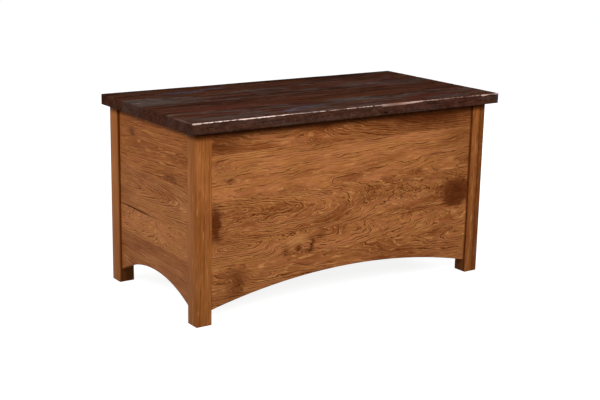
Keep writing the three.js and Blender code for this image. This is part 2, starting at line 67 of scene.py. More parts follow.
nodes = frame["nodes"]

# %% [markdown]
# The camera is a plain studio camera with a long lens, standing in front of the left corner and a little
# above the lid. It could be found by hand with the view locked to the camera. Here its angles come from the
# directions of the chest's own edges. Its moves read from the last line up: it steps back from the point it
# aims at, tilts a little, rises and turns.

# %% Camera
PICTURE_TURN, PICTURE_RISE, PICTURE_TILT = radians(-34.748), radians(14.233), radians(1.153)
AIM, CAMERA_DISTANCE = (0.0015, 0.0071, 0.2227), 3.4217
LENS_MM, SENSOR_MM = 71.228, 36

bpy.ops.object.camera_add()
camera = bpy.context.object
camera.matrix_world = (
    Matrix.Translation(AIM)
    @ Matrix.Rotation(PICTURE_TURN, 4, "Z")
    @ Matrix.Rotation(pi / 2 - PICTURE_RISE, 4, "X")
    @ Matrix.Rotation(PICTURE_TILT, 4, "Z")
    @ Matrix.Translation((0, 0, CAMERA_DISTANCE))
)
camera.data.lens, camera.data.sensor_width = LENS_MM, SENSOR_MM
bpy.context.scene.camera = camera
print("camera at", [round(value, 3) for value in camera.matrix_world.translation])

# %% [markdown]
# Every finish below is a small net of shader nodes. Building one by hand is dragging nodes and wires. In a
# script the same net is shorter to read when a helper adds a node, fills its inputs and hands back the wires
# that come out of it. Such wires can then be added and multiplied like numbers: each sign adds the Math node
# that does the sum.

# %% Wires and nodes
def sign(operation, behind=False):
    """What a sign does between a wire and another value, which may be a number with the wire behind it."""
    def result(wire, other):
        return calc(operation, other, wire) if behind else calc(operation, wire, other)
    return result


class Wire:
    """What comes out of a node. Arithmetic with wires adds the nodes that work it out."""
    __add__, __radd__ = sign("ADD"), sign("ADD", behind=True)
    __sub__, __rsub__ = sign("SUBTRACT"), sign("SUBTRACT", behind=True)
    __mul__, __truediv__ = sign("MULTIPLY"), sign("DIVIDE")

    def __init__(self, socket):
        self.socket, self.tree = socket, socket.id_data

    def __abs__(self):
        return calc("ABSOLUTE", self)


def is_vector(value):
    return isinstance(value, tuple) or isinstance(value, Wire) and value.socket.type in ("VECTOR", "RGBA")


def calc(operation, *values):
    """One step of arithmetic, taken on whole vectors where one of the values is a vector or a colour."""
    if not any(is_vector(value) for value in values):
        return node("Math", dict(enumerate(values)), operation=operation)[0]
    values = [value if isinstance(value, (Wire, tuple)) else (value,) * 3 for value in values]
    return node("VectorMath", dict(enumerate(values)), operation=operation)[0]


def fill(made, inputs):
    """Fills a node's inputs, each with a plain value or with a wire."""
    for name, value in inputs.items():
        if isinstance(value, Wire):
            value.tree.links.new(value.socket, made.inputs[name])
        else:
            made.inputs[name].default_value = value


def outputs_of(made):
    """The wires that come out of a node, to be picked by name or by number."""
    return {key: Wire(socket) for number, socket in enumerate(made.outputs) for key in (number, socket.name)}


def node(kind, inputs, tree=None, **settings):
    """Adds a shader node to a net, which is the net that its wires come from where no other is given."""
    if tree is None:
        tree = next(value.tree for value in inputs.values() if isinstance(value, Wire))
    made = tree.nodes.new("ShaderNode" + kind)
    for name, value in settings.items():
        setattr(made, name, value)
    fill(made, inputs)
    return outputs_of(made)


# %% [markdown]
# A few kinds of node come back in every finish: a soft step between two values, a mix of two colours, and
# cloudy noise. A node group is a net that other nets can share. One helper opens it with its inputs, the net
# is built, and another closes it with the wires that come out. Colours are written as they are read off a
# screen, and turned into the plain light that shaders reckon in.

# %% Helpers for finishes
ORIGIN = (0.0, 0.0, 0.0)


def fade(value, low, high, to_low=0.0, to_high=1.0):
    """Rises smoothly from to_low, where the value is low, to to_high, where it is high."""
    span = {0: value, 1: low, 2: high, 3: to_low, 4: to_high}
    return node("MapRange", span, interpolation_type="SMOOTHSTEP")[0]


def mix(share, first, second):
    """A mix of two colours. The share of the second one is held between zero and one."""
    return node("Mix", {0: share, 6: first, 7: second}, data_type="RGBA")[2]


def cloudy(point, waves, detail, roughness=0.5, output="Fac"):
    """Soft noise around one half. The waves say how many of them go into a metre along each axis."""
    return node("TexNoise", {"Vector": point * waves, "Scale": 1.0, "Detail": detail, "Roughness": roughness})[output]


def split(vector):
    return node("SeparateXYZ", {0: vector})


def open_group(name, inputs):
    """Starts a node group. Whether an input is a number, a vector or a colour is read off its plain value."""
    tree = bpy.data.node_groups.new(name, "ShaderNodeTree")
    for label, value in inputs.items():
        kind = {3: "Vector", 4: "Color"}[len(value)] if isinstance(value, tuple) else "Float"
        tree.interface.new_socket(label, in_out="INPUT", socket_type="NodeSocket" + kind).default_value = value
    return tree, outputs_of(tree.nodes.new("NodeGroupInput"))


def close_group(tree, **outputs):
    """Ends a node group: each wire comes out of it under the name that it is given."""
    for label, wire in outputs.items():
        kind = "Color" if wire.socket.type == "RGBA" else "Float"
        tree.interface.new_socket(label, in_out="OUTPUT", socket_type="NodeSocket" + kind)
    fill(tree.nodes.new("NodeGroupOutput"), outputs)
    print("net of", tree.name, "with", len(tree.nodes), "nodes")


def use_group(group, inputs):
    return node("Group", inputs, node_tree=group)


def colour(red, green, blue):
    def plain(value):
        share = value / 255
        return share / 12.92 if share <= 0.04045 else ((share + 0.055) / 1.055) ** 2.4
    return (plain(red), plain(green), plain(blue), 1.0)


# %% [markdown]
# The studio is a pale floor under soft light, with the lamps at a level where a colour renders about as it
# was written. More light would turn the floor white, but the chest too. So what the camera and gloss see of
# the floor is lifted by a plain glow that lights nothing. The glow grows with the distance from the chest, and
# the soft shadow near it stays.

# %% Floor and surroundings
FLOOR_REACH = 60
FLOOR_PALE, FLOOR_SEEN, WHITE = (0.24, 0.24, 0.24, 1), (0.3, 0.3, 0.3, 1), (1, 1, 1, 1)
GLOW_START, GLOW_FULL, GLOW_NEAR = 0.8, 2.0, 0.88
SURROUNDING_LIGHT = 0.08


def empty_net(owner):
    owner.use_nodes = True
    owner.node_tree.nodes.clear()
    return owner.node_tree


def seen_share(net):
    """One for the rays that look at things, zero for the rays that light them."""
    path = node("LightPath", {}, net)
    return calc("MINIMUM", path["Is Camera Ray"] + path["Is Glossy Ray"] + path["Is Transmission Ray"], 1)


bpy.ops.mesh.primitive_plane_add(size=FLOOR_REACH)
floor = bpy.context.object
floor.name = "studio_floor"
floor_paint = bpy.data.materials.new("studio floor")
floor.data.materials.append(floor_paint)
net = empty_net(floor_paint)
apart = node("TexCoord", {}, net)["Object"] * (1, 1, 0)
apart = node("VectorMath", {0: apart}, operation="LENGTH")["Value"]
glow = node("Emission", {"Color": WHITE, "Strength": fade(apart, GLOW_START, GLOW_FULL, GLOW_NEAR, 1.0)})[0]
shown = node("AddShader", {0: node("BsdfDiffuse", {"Color": FLOOR_SEEN}, net)[0], 1: glow})[0]
matte = node("BsdfDiffuse", {"Color": FLOOR_PALE}, net)[0]
top_side = node("MixShader", {0: seen_share(net), 1: matte, 2: shown})[0]
under = node("NewGeometry", {}, net)["Backfacing"]
both = node("MixShader", {0: under, 1: top_side, 2: node("BsdfTransparent", {}, net)[0]})[0]
node("OutputMaterial", {"Surface": both})

world = bpy.data.worlds.new("studio")
bpy.context.scene.world = world
net = empty_net(world)
dim, white = (node("Background", {"Color": WHITE, "Strength": light}, net)[0] for light in (SURROUNDING_LIGHT, 1.0))
node("OutputWorld", {"Surface": node("MixShader", {0: seen_share(net), 1: dim, 2: white})[0]})
bpy.context.scene.view_settings.view_transform = "Standard"
print("floor", FLOOR_REACH, "m across")

# %% [markdown]
# Three soft boxes stand around the chest, each about thirty degrees up: one before the front, one before the
# left end, and a third behind the right corner. The lid keeps them off the top of each wall, so shade falls
# there, deepened by painted shade in the walls' finish. An area lamp is the plain way to make a soft box.

# %% Lamps
CHEST_MIDDLE = Vector((0, 0, 0.3))
BOX_WIDTH, BOX_HEIGHT = 1.3, 1.1
SOFT_BOXES = {"front": ((-0.2, -2.5, 1.85), 80), "left": ((-2.7, 0.1, 1.8), 62), "rear": ((2.1, 1.95, 1.7), 55)}

for name, (place, watts) in SOFT_BOXES.items():
    light = bpy.data.lights.new(name, "AREA")
    light.shape = "RECTANGLE"
    light.size, light.size_y, light.energy = BOX_WIDTH, BOX_HEIGHT, watts
    lamp = bpy.data.objects.new(name, light)
    bpy.context.scene.collection.objects.link(lamp)
    lamp.location = place
    lamp.rotation_euler = (lamp.location - CHEST_MIDDLE).to_track_quat("Z", "Y").to_euler()
print("soft boxes", len(SOFT_BOXES))

# %% [markdown]
# What the eye reads as wood is the tree's growth rings, cut through by the saw. A flat picture of lines
# would break where a face turns a corner, so the rings are modelled as they grow: a board lies somewhere
# beside the middle of a tree, and a ring is a tube round that middle. Slow noise lets the trunk wander, and
# quick noise gives the small flames of the figure. The distance to the middle, counted in rings, is all that a
# board's colour needs.

# %% Growth rings
RING_INPUTS = {"Vector": ORIGIN, "Middle": (0.0, 0.05, 0.0), "Taper": 0.02, "Spacing": 0.004, "Wander": 0.02,
               "Flame": 0.004, "Waves": (14.0, 48.0, 48.0), "Curl": 0.0, "Seed": ORIGIN, "Swell": 0.0}
WANDER_WAVES, CURL_WAVES = (2.4, 7.0, 7.0), (45, 95, 95)
YEARS_WAVES, YEARS_CHANGE = 0.37, 1.6


def drift(point, waves, detail):
    """A push to any side that changes from place to place."""
    return cloudy(point, waves, detail, output="Color") - 0.5


def slant(first, second):
    """How far it is from a corner to a point, when it lies so far along one side and so far along the other."""
    return calc("SQRT", first * first + second * second)


rings_group, take = open_group("growth rings", RING_INPUTS)
spot = take["Vector"] + take["Seed"]
moved = take["Vector"] - take["Middle"] + drift(spot, WANDER_WAVES, 1) * take["Wander"]
moved = moved + drift(spot, take["Waves"], 2.5) * take["Flame"] + drift(spot, CURL_WAVES, 1) * take["Curl"]
depth = split(take["Vector"])["X"] * take["Taper"] + split(moved)["Y"]
count = slant(depth, split(moved)["Z"]) / take["Spacing"] + take["Swell"]
years = {"W": count * YEARS_WAVES, "Scale": 1.0, "Detail": 1.0}
uneven = node("TexNoise", years, noise_dimensions="1D")["Fac"]
close_group(rings_group, Ring=uneven * YEARS_CHANGE + count)

# %% [markdown]
# Where the saw ran nearly along a ring, the ring shows as a wide flame, but the dark line at its edge stays
# thin. So the lines need to know how wide a ring comes out at each spot. The rings are counted again a short
# step along the grain and a short step across it: the more the count climbs, the narrower they are there.

# %% Width of a ring on the board
STEP, LEAST_CLIMB = 0.0005, 12.0
width_group, take = open_group("rings and their width", RING_INPUTS)
wires = {name: take[name] for name in RING_INPUTS}
here, along, across = (
    use_group(rings_group, {**wires, "Vector": take["Vector"] + shift})["Ring"]
    for shift in (ORIGIN, (STEP, 0, 0), (0, 0, STEP))
)
climb = slant(along - here, across - here) / STEP
close_group(width_group, Ring=here, Width=calc("DIVIDE", 1, calc("MAXIMUM", climb, LEAST_CLIMB)))

# %% [markdown]
# A knot is the root of a branch. Around it the rings bulge, and the wood is darker. One group gives a soft
# round hill, one in its middle and nothing outside, at any place and of any size on a board. Hills are then
# added to the ring count, so that the lines run round them like the lines of a map.

# %% Knots
knot_group, take = open_group("knot", {"Vector": ORIGIN, "Place": ORIGIN, "Size": (0.03, 1.0, 0.02)})
apart = (take["Vector"] - take["Place"]) / take["Size"]
far = node("VectorMath", {0: apart, 1: apart}, operation="DOT_PRODUCT")["Value"]
close_group(knot_group, Hill=calc("EXPONENT", far * -1))

# %% [markdown]
# Where a wall meets a post, each corner holds a dark line. This is painted shade, standing for the shade that
# falls into those corners. It could be painted on a mask. Here it comes from the distance to the corners: seen
# from above they are three points, and the other side of the chest mirrors them. The wall right under the lid's
# overhang gets painted shade too.

# %% Painted shade beside the posts and under the lid
CORNER_SHADE_START, CORNER_SHADE_REACH, CORNER_SHADE_DARK = 0.0008, 0.0055, 0.6
SHADE_REACH, SHADE_FULL, SKIN = 0.028, 0.006, 0.003
front_board, end_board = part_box("front_board_1"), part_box("left_end_board_1")
front_post, back_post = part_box("post_front_left"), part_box("post_back_left")
FRONT, END, WALL_TOP = front_board[0].y, -end_board[0].x, front_board[1].z
SHADED_CORNERS = [(-front_post[1].x, FRONT), (END, front_post[1].y), (END, back_post[0].y)]

painted_shade_group, take = open_group("dark corners", {"Vector": ORIGIN})
place = split(take["Vector"])
nearest = 1.0
for x, y in SHADED_CORNERS:
    nearest = calc("MINIMUM", nearest, slant(abs(place["X"]) - x, place["Y"] - y))
# Painted shade along each corner where a wall meets a post.
corner = fade(nearest, CORNER_SHADE_START, CORNER_SHADE_REACH, CORNER_SHADE_DARK, 0.0)
outside = calc("MAXIMUM", fade(place["Y"], FRONT, FRONT + SKIN, 1, 0), fade(abs(place["X"]), END - SKIN, END))
# Painted shade on the outer walls right under the lid's overhang.
painted_lid_shade = outside * fade(place["Z"], WALL_TOP - SHADE_REACH, WALL_TOP - SHADE_FULL)
close_group(painted_shade_group, Dark=corner + painted_lid_shade)
print("dark corners at", [[round(value, 4) for value in crease] for crease in SHADED_CORNERS])

# %% [markdown]
# The walls and posts are a ring-porous wood under a brown stain and a satin lacquer. Stain gathers in the
# pores of each spring's growth, so every ring ends in a broken dark line with a paler one beside it, and
# fainter lines run between them. All of these are drawn on the ring count, so they follow the rings. Slow
# changes from tan to brown and fine fibres lie along the board. What darkens the colour also dips the surface
# a little and dulls the lacquer.

# %% Stained board
STROKE_WIDTH, STROKE_EDGE = 0.0042, 0.0005
BREAK_WAVES, BETWEEN_WAVES, BAND_WAVES, FLECK_WAVES = (30, 0.9, 24), (15, 4.1, 90), (8, 0.33, 10), (24, 2.3, 110)
FIBRE_WAVES, PORE_WAVES, CLOUD_WAVES, ROSY_WAVES = (9, 420, 420), (42, 1700, 1700), (5, 19, 19), (9, 52, 52)
GLINT = colour(222, 160, 100)
stain_group, take = open_group("stained board", {
    "Vector": ORIGIN, "Ring": 0.0, "Width": 0.005, "Tone": 0.0, "Dark": 0.0, "Bright": 0.0, "Lines": 0.8, "Cloud": 1.0,
    "Pale": colour(168, 106, 57), "Rosy": colour(175, 107, 70), "Middle": colour(128, 70, 33),
    "Deep": colour(64, 26, 4)})
spot, place = take["Vector"], split(take["Vector"])
on_ring = node("CombineXYZ", {0: place["X"], 1: take["Ring"], 2: place["Z"]})[0]

phase = calc("FRACT", take["Ring"])
before, after = (1 - phase) * take["Width"], phase * take["Width"]
reach = calc("MINIMUM", take["Width"] * 0.5, STROKE_WIDTH)
line = calc("MAXIMUM", fade(before / reach, 0.1, 1, 1, 0), fade(after, 0, STROKE_EDGE, 1, 0))
strength = node("TexWhiteNoise", {"W": calc("FLOOR", take["Ring"])}, noise_dimensions="1D")["Value"]
broken = fade(cloudy(on_ring, BREAK_WAVES, 3), 0.38, 0.56, 0.15, 1)
stroke = line * fade(strength, 0, 1, 0.3, 1) * broken
between = cloudy(on_ring, BETWEEN_WAVES, 2) - 0.5
fibre = cloudy(spot, FIBRE_WAVES, 3) - 0.5
pore = fade(cloudy(spot, PORE_WAVES, 1), 0.6, 0.7)

cloud = cloudy(spot, CLOUD_WAVES, 3) - 0.5 + (cloudy(on_ring, BAND_WAVES, 1) - 0.5) * 0.55
tone = cloud * take["Cloud"] + 0.5 + take["Tone"]
rosy = fade(cloudy(spot, ROSY_WAVES, 3), 0.4, 0.65, 0, 0.55)
tint = mix(rosy, take["Pale"], take["Rosy"])
tint = mix(fade(tone, 0.2, 0.8), tint, take["Middle"])
glint = fade(after, 0.0004, 0.001) * fade(after, 0.0014, 0.0036, 0.5, 0) * broken
fleck = fade(cloudy(on_ring, FLECK_WAVES, 3), 0.52, 0.7, 0, 0.8)
glint = calc("MAXIMUM", glint, fleck) * take["Lines"] + take["Bright"]
tint = mix(glint, tint, mix(0.4, take["Pale"], GLINT))
# Dark holds the knots' darker wood and also the painted shade of the corners and under the lid.
tint = mix(take["Dark"], tint, mix(0.6, take["Middle"], take["Deep"]))

ink = (between * 2 + stroke) * take["Lines"] + fibre * 0.5 + pore * (line * 0.3 + 0.1)
ink = node("Clamp", {0: take["Dark"] * 0.3 + ink})[0]
tint = mix(ink, tint, take["Deep"])
close_group(stain_group, Color=tint, Roughness=ink * 0.16 + 0.4, Height=1 - calc("MAXIMUM", ink, pore))

# %% [markdown]
# A finish for one board names where the board lies in its tree, which way its grain runs and what knots it
# has. The pattern reads the board's own place in the chest, turned so that its first axis is the grain: no
# picture is wrapped round it, and the rings come out on the ends and in the arch as they would when sawn.

# %% From the chest to a board's grain
GRAIN_TURNS = {"X": Euler((0, 0, 0)), "Y": Euler((0, 0, -pi / 2)), "Z": Euler((0, pi / 2, 0)),
               "X flat": Euler((pi / 2, 0, 0)), "Y flat": Matrix(((0, 1, 0), (0, 0, 1), (1, 0, 0))).to_euler()}


def middle_of(name):
    low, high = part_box(name)
    return (low + high) / 2


def along_grain(spot, name, grain):
    """A wire's place on the chest as it lies from a piece's middle, with the grain along the first axis."""
    turn = GRAIN_TURNS[grain]
    shift = turn.to_matrix() @ -middle_of(name)
    return node("Mapping", {"Vector": spot, "Rotation": turn, "Location": shift})[0]


def hill(local, place, size, name, grain):
    """A soft hill at a place on the chest. Its size is along the grain, through the board and across."""
    place = tuple(GRAIN_TURNS[grain].to_matrix() @ (Vector(place) - middle_of(name)))
    return use_group(knot_group, {"Vector": local, "Place": place, "Size": size})["Hill"]


def seed_vector(seed):
    return (seed * 3.17 % 41, seed * 5.41 % 37, seed * 7.93 % 43)


# %% [markdown]
# Every finish starts as a new material that knows where on the chest a point lies, and ends the same way: its
# colour and roughness go to the shader, its height becomes a bump of a depth in metres, and what is the same
# all over is set on the shader itself.

# %% Finishes for stained boards
LACQUER_DEPTH, LACQUER_GLOSS = 0.00015, 0.02
KNOT_WAVES, KNOT_FRAY, FINE_KNOT = (45, 60, 60), 0.03, 0.004


def start_finish(name):
    material = bpy.data.materials.new(name)
    material.use_nodes = True
    return material, node("TexCoord", {}, material.node_tree)["Object"]


def end_finish(material, look, depth, all_over):
    bump = node("Bump", {"Height": look["Height"], "Strength": 1.0, "Distance": depth})[0]
    fill(material.node_tree.nodes["Principled BSDF"], {
        "Base Color": look["Color"], "Roughness": look["Roughness"], "Normal": bump, **all_over})
    return material


def on_face(name, along, up):
    """A place on the outer face of a front board, a front post or a left end board."""
    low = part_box(name)[0]
    return (low.x, along, up) if name.startswith("left_end") else (along, low.y, up)


def stained_board(name, grain, seed, middle, flame, spacing=0.0042, wander=0.04, waves=(14, 48, 48), taper=0.03,
                  tone=0.0, lines=0.95, cloud=1.2, knots=(), curls=(), colours=()):
    """Each knot is its place along its face and above the floor, its size along and across the grain, the rings
    that it adds, and how much it darkens, or with a minus sign how much it brightens. Each curl is a place, a
    size, and how much more the rings curl there."""
    material, spot = start_finish(name)
    local = along_grain(spot, name, grain)
    frayed = drift(local, KNOT_WAVES, 3) * KNOT_FRAY + local if knots else local
    swell, bright, curl = 0.0, 0.0, 0.0
    # The darkening starts from the painted shade of the corners and under the lid; knots add their darker wood.
    dark = use_group(painted_shade_group, {"Vector": spot})["Dark"]
    for place, (long, wide), rings, shade in knots:
        near = frayed if wide > FINE_KNOT else local
        knot = hill(near, on_face(name, *place), (long, 1.0, wide), name, grain)
        if rings:
            swell += knot * rings
        if shade > 0:
            dark += knot * shade
        if shade < 0:
            bright += knot * -shade
    for place, (long, wide), more in curls:
        curl += hill(local, on_face(name, *place), (long, 1.0, wide), name, grain) * more
    ring = use_group(width_group, {
        "Vector": local, "Middle": middle, "Taper": taper, "Spacing": spacing, "Wander": wander, "Flame": flame,
        "Waves": waves, "Curl": curl, "Seed": seed_vector(seed), "Swell": swell})
    look = use_group(stain_group, {
        "Vector": local + seed_vector(seed), "Ring": ring["Ring"], "Width": ring["Width"], "Tone": tone, "Dark": dark,
        "Bright": bright, "Lines": lines, "Cloud": cloud, **dict(colours)})
    return end_finish(material, look, LACQUER_DEPTH, {"Specular IOR Level": LACQUER_GLOSS})


def dress(piece, material):
    piece.data.materials.clear()
    piece.data.materials.append(material)


# %% [markdown]
# The front and the left end are each glued up from five boards, and every board was sawn from another part of
# the tree. One plain pattern for all would look printed, so each board gets a line in a table: how far its
# tree's middle lies behind it, how much the trunk wanders, its tone, and its knots, burls and dark patches.
# The places are read off the chest itself, in metres. The boards that don't show take calm figures. For each
# wall the second table has its grain, its number of boards and the seed of its first board.

# %% Figures of the walls
CALM = dict(lines=0.6, cloud=0.8, wander=0.014, flame=0.005)
SHORT_FLAMES = (24, 60, 60)
WARM = {"Pale": colour(168, 104, 50), "Rosy": colour(175, 105, 62), "Middle": colour(128, 69, 29)}
BROWN_LINES = {"Deep": colour(80, 36, 11)}
FIGURES = {
    # Along the top of this board the dark patches are partly darker wood and partly painted shade under the lid's
    # overhang.
    "front_board_1": dict(middle=(0, 0.05, 0.03), taper=0.05, tone=0.07, flame=0.012, lines=0.9, knots=[
        ((0.27, 0.482), (0.2, 0.03), 0, 1.05), ((-0.4, 0.463), (0.06, 0.024), 0, 0.6),
        ((-0.083, 0.484), (0.02, 0.008), 1.5, 0.5), ((-0.13, 0.474), (0.07, 0.028), 4, 0.0),
        ((-0.16, 0.49), (0.12, 0.02), 0, 0.35), ((-0.34, 0.48), (0.12, 0.015), 0, 0.25)]),
    "front_board_2": dict(middle=(0, 0.07, -0.05), taper=0.04, tone=-0.1, wander=0.03, flame=0.012, knots=[
        ((-0.401, 0.4), (0.032, 0.015), 4, 0.1), ((-0.374, 0.375), (0.012, 0.006), 1, 0.7),
        ((0.43, 0.4), (0.09, 0.09), 0, 0.3)]),
    "front_board_3": dict(
        middle=(0, 0.04, 0.01), taper=-0.1, wander=0.05, flame=0.014, waves=SHORT_FLAMES, lines=1.35,
        colours=BROWN_LINES, curls=[((0.19, 0.275), (0.17, 0.05), 0.016), ((-0.33, 0.255), (0.1, 0.03), 0.014)],
        knots=[
            ((0.19, 0.285), (0.18, 0.04), 0, 0.16),
            ((0.385, 0.244), (0.034, 0.034), 0, 2.1), ((0.41, 0.26), (0.09, 0.055), 0, 0.4),
            ((-0.417, 0.266), (0.015, 0.034), 0, 1.8), ((-0.412, 0.225), (0.03, 0.015), 0, 0.35)]),
    "front_board_4": dict(
        middle=(0, 0.03, 0.02), taper=-0.12, wander=0.02, flame=0.011, waves=SHORT_FLAMES, tone=-0.1, lines=1.35,
        colours=BROWN_LINES, knots=[
            ((-0.165, 0.17), (0.06, 0.03), 5, 0.12), ((-0.168, 0.185), (0.03, 0.013), 0, -1.3),
            ((-0.164, 0.163), (0.009, 0.006), 2, 0.9), ((-0.118, 0.166), (0.008, 0.02), 0, 1.0),
            ((-0.128, 0.15), (0.022, 0.005), 0, 0.6), ((-0.092, 0.189), (0.014, 0.011), 0, 0.6),
            ((-0.2, 0.158), (0.008, 0.013), 0, 0.6), ((-0.185, 0.1495), (0.018, 0.0045), 0, 0.6),
            ((-0.235, 0.188), (0.026, 0.02), 3, 0.0), ((0.1, 0.196), (0.034, 0.013), 4, 0.0),
            ((0.0, 0.2), (0.03, 0.012), 3, 0.1), ((0.33, 0.19), (0.04, 0.02), 4, 0.0)]),
    "front_board_5": dict(
        middle=(0, 0.07, 0.05), taper=0.05, tone=-0.03, flame=0.011, lines=1.2, colours=BROWN_LINES, knots=[
            ((-0.352, 0.101), (0.022, 0.028), 3, 0.75), ((-0.396, 0.085), (0.026, 0.02), 0, -0.35),
            ((-0.385, 0.13), (0.05, 0.011), 0, 0.4), ((-0.36, 0.07), (0.06, 0.015), 0, 0.35),
            ((-0.25, 0.12), (0.06, 0.03), 0, -0.15)]),
    "left_end_board_1": dict(CALM, middle=(0, 0.09, 0.06), tone=0.1, colours=WARM, knots=[
        ((0.127, 0.447), (0.022, 0.009), 2, 0.8), ((0.03, 0.462), (0.08, 0.003), 0, -0.5),
        ((-0.08, 0.447), (0.05, 0.003), 0, -0.4)]),
    "left_end_board_2": dict(CALM, middle=(0, 0.1, 0.05), tone=0.12, lines=0.8, colours=WARM, knots=[
        ((-0.086, 0.36), (0.03, 0.012), 3, 0.4)]),
    "left_end_board_3": dict(CALM, middle=(0, 0.03, 0.012), taper=0.1, tone=-0.06, lines=0.9, knots=[
        ((-0.16, 0.29), (0.06, 0.06), 0, -0.2), ((0.11, 0.2352), (0.08, 0.0016), 0, 2.0)]),
    "left_end_board_4": dict(
        CALM, middle=(0, 0.05, 0.02), taper=0.02, tone=-0.25, flame=0.016, waves=SHORT_FLAMES, lines=0.9, knots=[
            ((0.11, 0.2343), (0.08, 0.0016), 0, 2.0), ((-0.02, 0.19), (0.05, 0.02), 3, -0.2)]),
    "left_end_board_5": dict(CALM, middle=(0, 0.07, -0.04), taper=0.02, tone=0.02),
}
UNSEEN_TONES = (0.12, -0.1, 0.06, -0.2, 0.02)
WALLS = {"front_board": ("X", 5, 1), "back_board": ("X", 4, 13), "left_end_board": ("Y", 5, 6),
         "right_end_board": ("Y", 5, 22)}
for prefix, (grain, count, first_seed) in WALLS.items():
    for row in range(count):
        name = f"{prefix}_{row + 1}"
        unseen = dict(CALM, middle=(0, 0.06, 0.02), tone=UNSEEN_TONES[row], lines=0.7)
        dress(nodes[name], stained_board(name, grain, first_seed + row, **FIGURES.get(name, unseen)))
print("boards with a finish of their own", sum(count for grain, count, first_seed in WALLS.values()))

# %% [markdown]
# New pieces start as a block, and are then cut and shaped in edit mode. A click picks one face or edge by
# hand. Here the picking is a test on each edge, such as which way it runs, and the operator that follows acts
# on all that was picked. The helpers below are that hand: take a piece, add a block, pick edges, cut them into
# equal lengths, and saw one piece out of another.

# %% Helpers for shaping
SHARP_FROM = radians(35)


def copy_of(piece, name):
    made = bpy.data.objects.new(name, piece.data.copy())
    bpy.context.scene.collection.objects.link(made)
    return made


def take_up(piece):
    """Makes one piece the only one selected, and the active one, so that operators act on it alone."""
    bpy.ops.object.select_all(action="DESELECT")
    piece.select_set(True)
    bpy.context.view_layer.objects.active = piece


def settle(piece, name):
    """Names a piece, and moves its place and size into its mesh, as the solids of the frame have them."""
    piece.name = piece.data.name = name
    take_up(piece)
    bpy.ops.object.transform_apply(location=True, rotation=True, scale=True)
    return piece


def add_block(name, low, high):
    low, high = Vector(low), Vector(high)
    bpy.ops.mesh.primitive_cube_add(size=1, location=(low + high) / 2)
    bpy.context.object.scale = high - low
    return settle(bpy.context.object, name)


def pick_edges(piece, wanted):
    """Selects, in edit mode, the edges that pass the test, and says how many they are."""
    mesh = bmesh.from_edit_mesh(piece.data)
    bpy.ops.mesh.select_mode(type="EDGE")
    bpy.ops.mesh.select_all(action="DESELECT")
    for edge in mesh.edges:
        edge.select_set(wanted(edge))
    bmesh.update_edit_mesh(piece.data)
    return sum(edge.select for edge in mesh.edges)


def runs_along(edge, axis):
    start, end = edge.verts
    return abs((end.co - start.co).normalized()[axis]) > 0.999


def cut_lengths(piece, axis, *cuts):
    """Cuts every edge along one axis into equal lengths, one operator after the other."""
    for number in cuts:
        pick_edges(piece, lambda edge: runs_along(edge, axis))
        bpy.ops.mesh.subdivide(number_cuts=number)


def saw_out(piece, cutter):
    """Takes the cutter's shape out of the piece, and throws the cutter away."""
    take_up(piece)
    cut = piece.modifiers.new("cut", "BOOLEAN")
    cut.operation, cut.solver, cut.object = "DIFFERENCE", "EXACT", cutter
    bpy.ops.object.modifier_apply(modifier=cut.name)
    bpy.data.objects.remove(cutter)


def smooth_over(piece):
    take_up(piece)
    bpy.ops.object.shade_smooth_by_angle(angle=SHARP_FROM)


# %% [markdown]
# The lowest board of each wall has the arch sawn out of it, and the sharp arrises of that cut are softened
# with a file and sandpaper. The solid of the frame has the arch already, so a copy of it is taken: its loose
# triangles are joined, flat neighbours become one face, and the edges that lie on the circle are bevelled.

# %% Arched boards
ARCH_RISE, ARCH_EASE, FOOT_HEIGHT = 0.053, 0.0012, 0.037
ON_CIRCLE, SAME_POINT, SAME_PLANE = 0.0003, 0.00001, radians(0.3)
ARCHED = {"front_board_5": (0, 0.4327), "back_board_4": (0, 0.4327), "left_end_board_5": (1, 0.1957),
          "right_end_board_5": (1, 0.1957)}


def soften_arch(name, axis, half):
    """Softens the arch of a board that runs along one axis, and is open by half to each side of its middle."""
    solid = nodes[name]
    board = copy_of(solid, "arched_" + name)
    board.data.transform(solid.matrix_world)
    take_up(board)
    middle, radius = middle_of(name)[axis], (half * half + ARCH_RISE * ARCH_RISE) / (2 * ARCH_RISE)
    centre = FOOT_HEIGHT + ARCH_RISE - radius

    def on_circle(vertex):
        return abs(hypot(vertex.co[axis] - middle, vertex.co.z - centre) - radius) < ON_CIRCLE

    bpy.ops.object.mode_set(mode="EDIT")
    bpy.ops.mesh.select_all(action="SELECT")
    bpy.ops.mesh.remove_doubles(threshold=SAME_POINT)
    bpy.ops.mesh.dissolve_limited(angle_limit=SAME_PLANE)
    picked = pick_edges(board, lambda edge: all(on_circle(vertex) for vertex in edge.verts)
                        and not runs_along(edge, 1 - axis))
    bpy.ops.mesh.bevel(offset=ARCH_EASE, segments=3)
    bpy.ops.object.mode_set(mode="OBJECT")
    smooth_over(board)
    board.data.name = board.name
    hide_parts(name)
    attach(board, "case")
    print(board.name, "edges on the arch", picked, "faces", len(board.data.polygons))


for name, (axis, half) in ARCHED.items():
    soften_arch(name, axis, half)

# %% [markdown]
# The lid is glued up from four old planks, hewn by hand and worn for many years before. By hand they would be
# blocks, cut into a fine net and then sculpted: shallow hollows from the tools, low ridges where the weather
# took the soft wood out between the rings, and a front arris that is worn far down in some places and crisp in
# others. Sculpt strokes can't be repeated exactly in a script, so each corner point of the net is moved by a
# smooth noise instead. The wear of the front arris follows a list of pairs, each a share of the lid's length
# from the left, and how deep the wear is there as a share of the deepest.

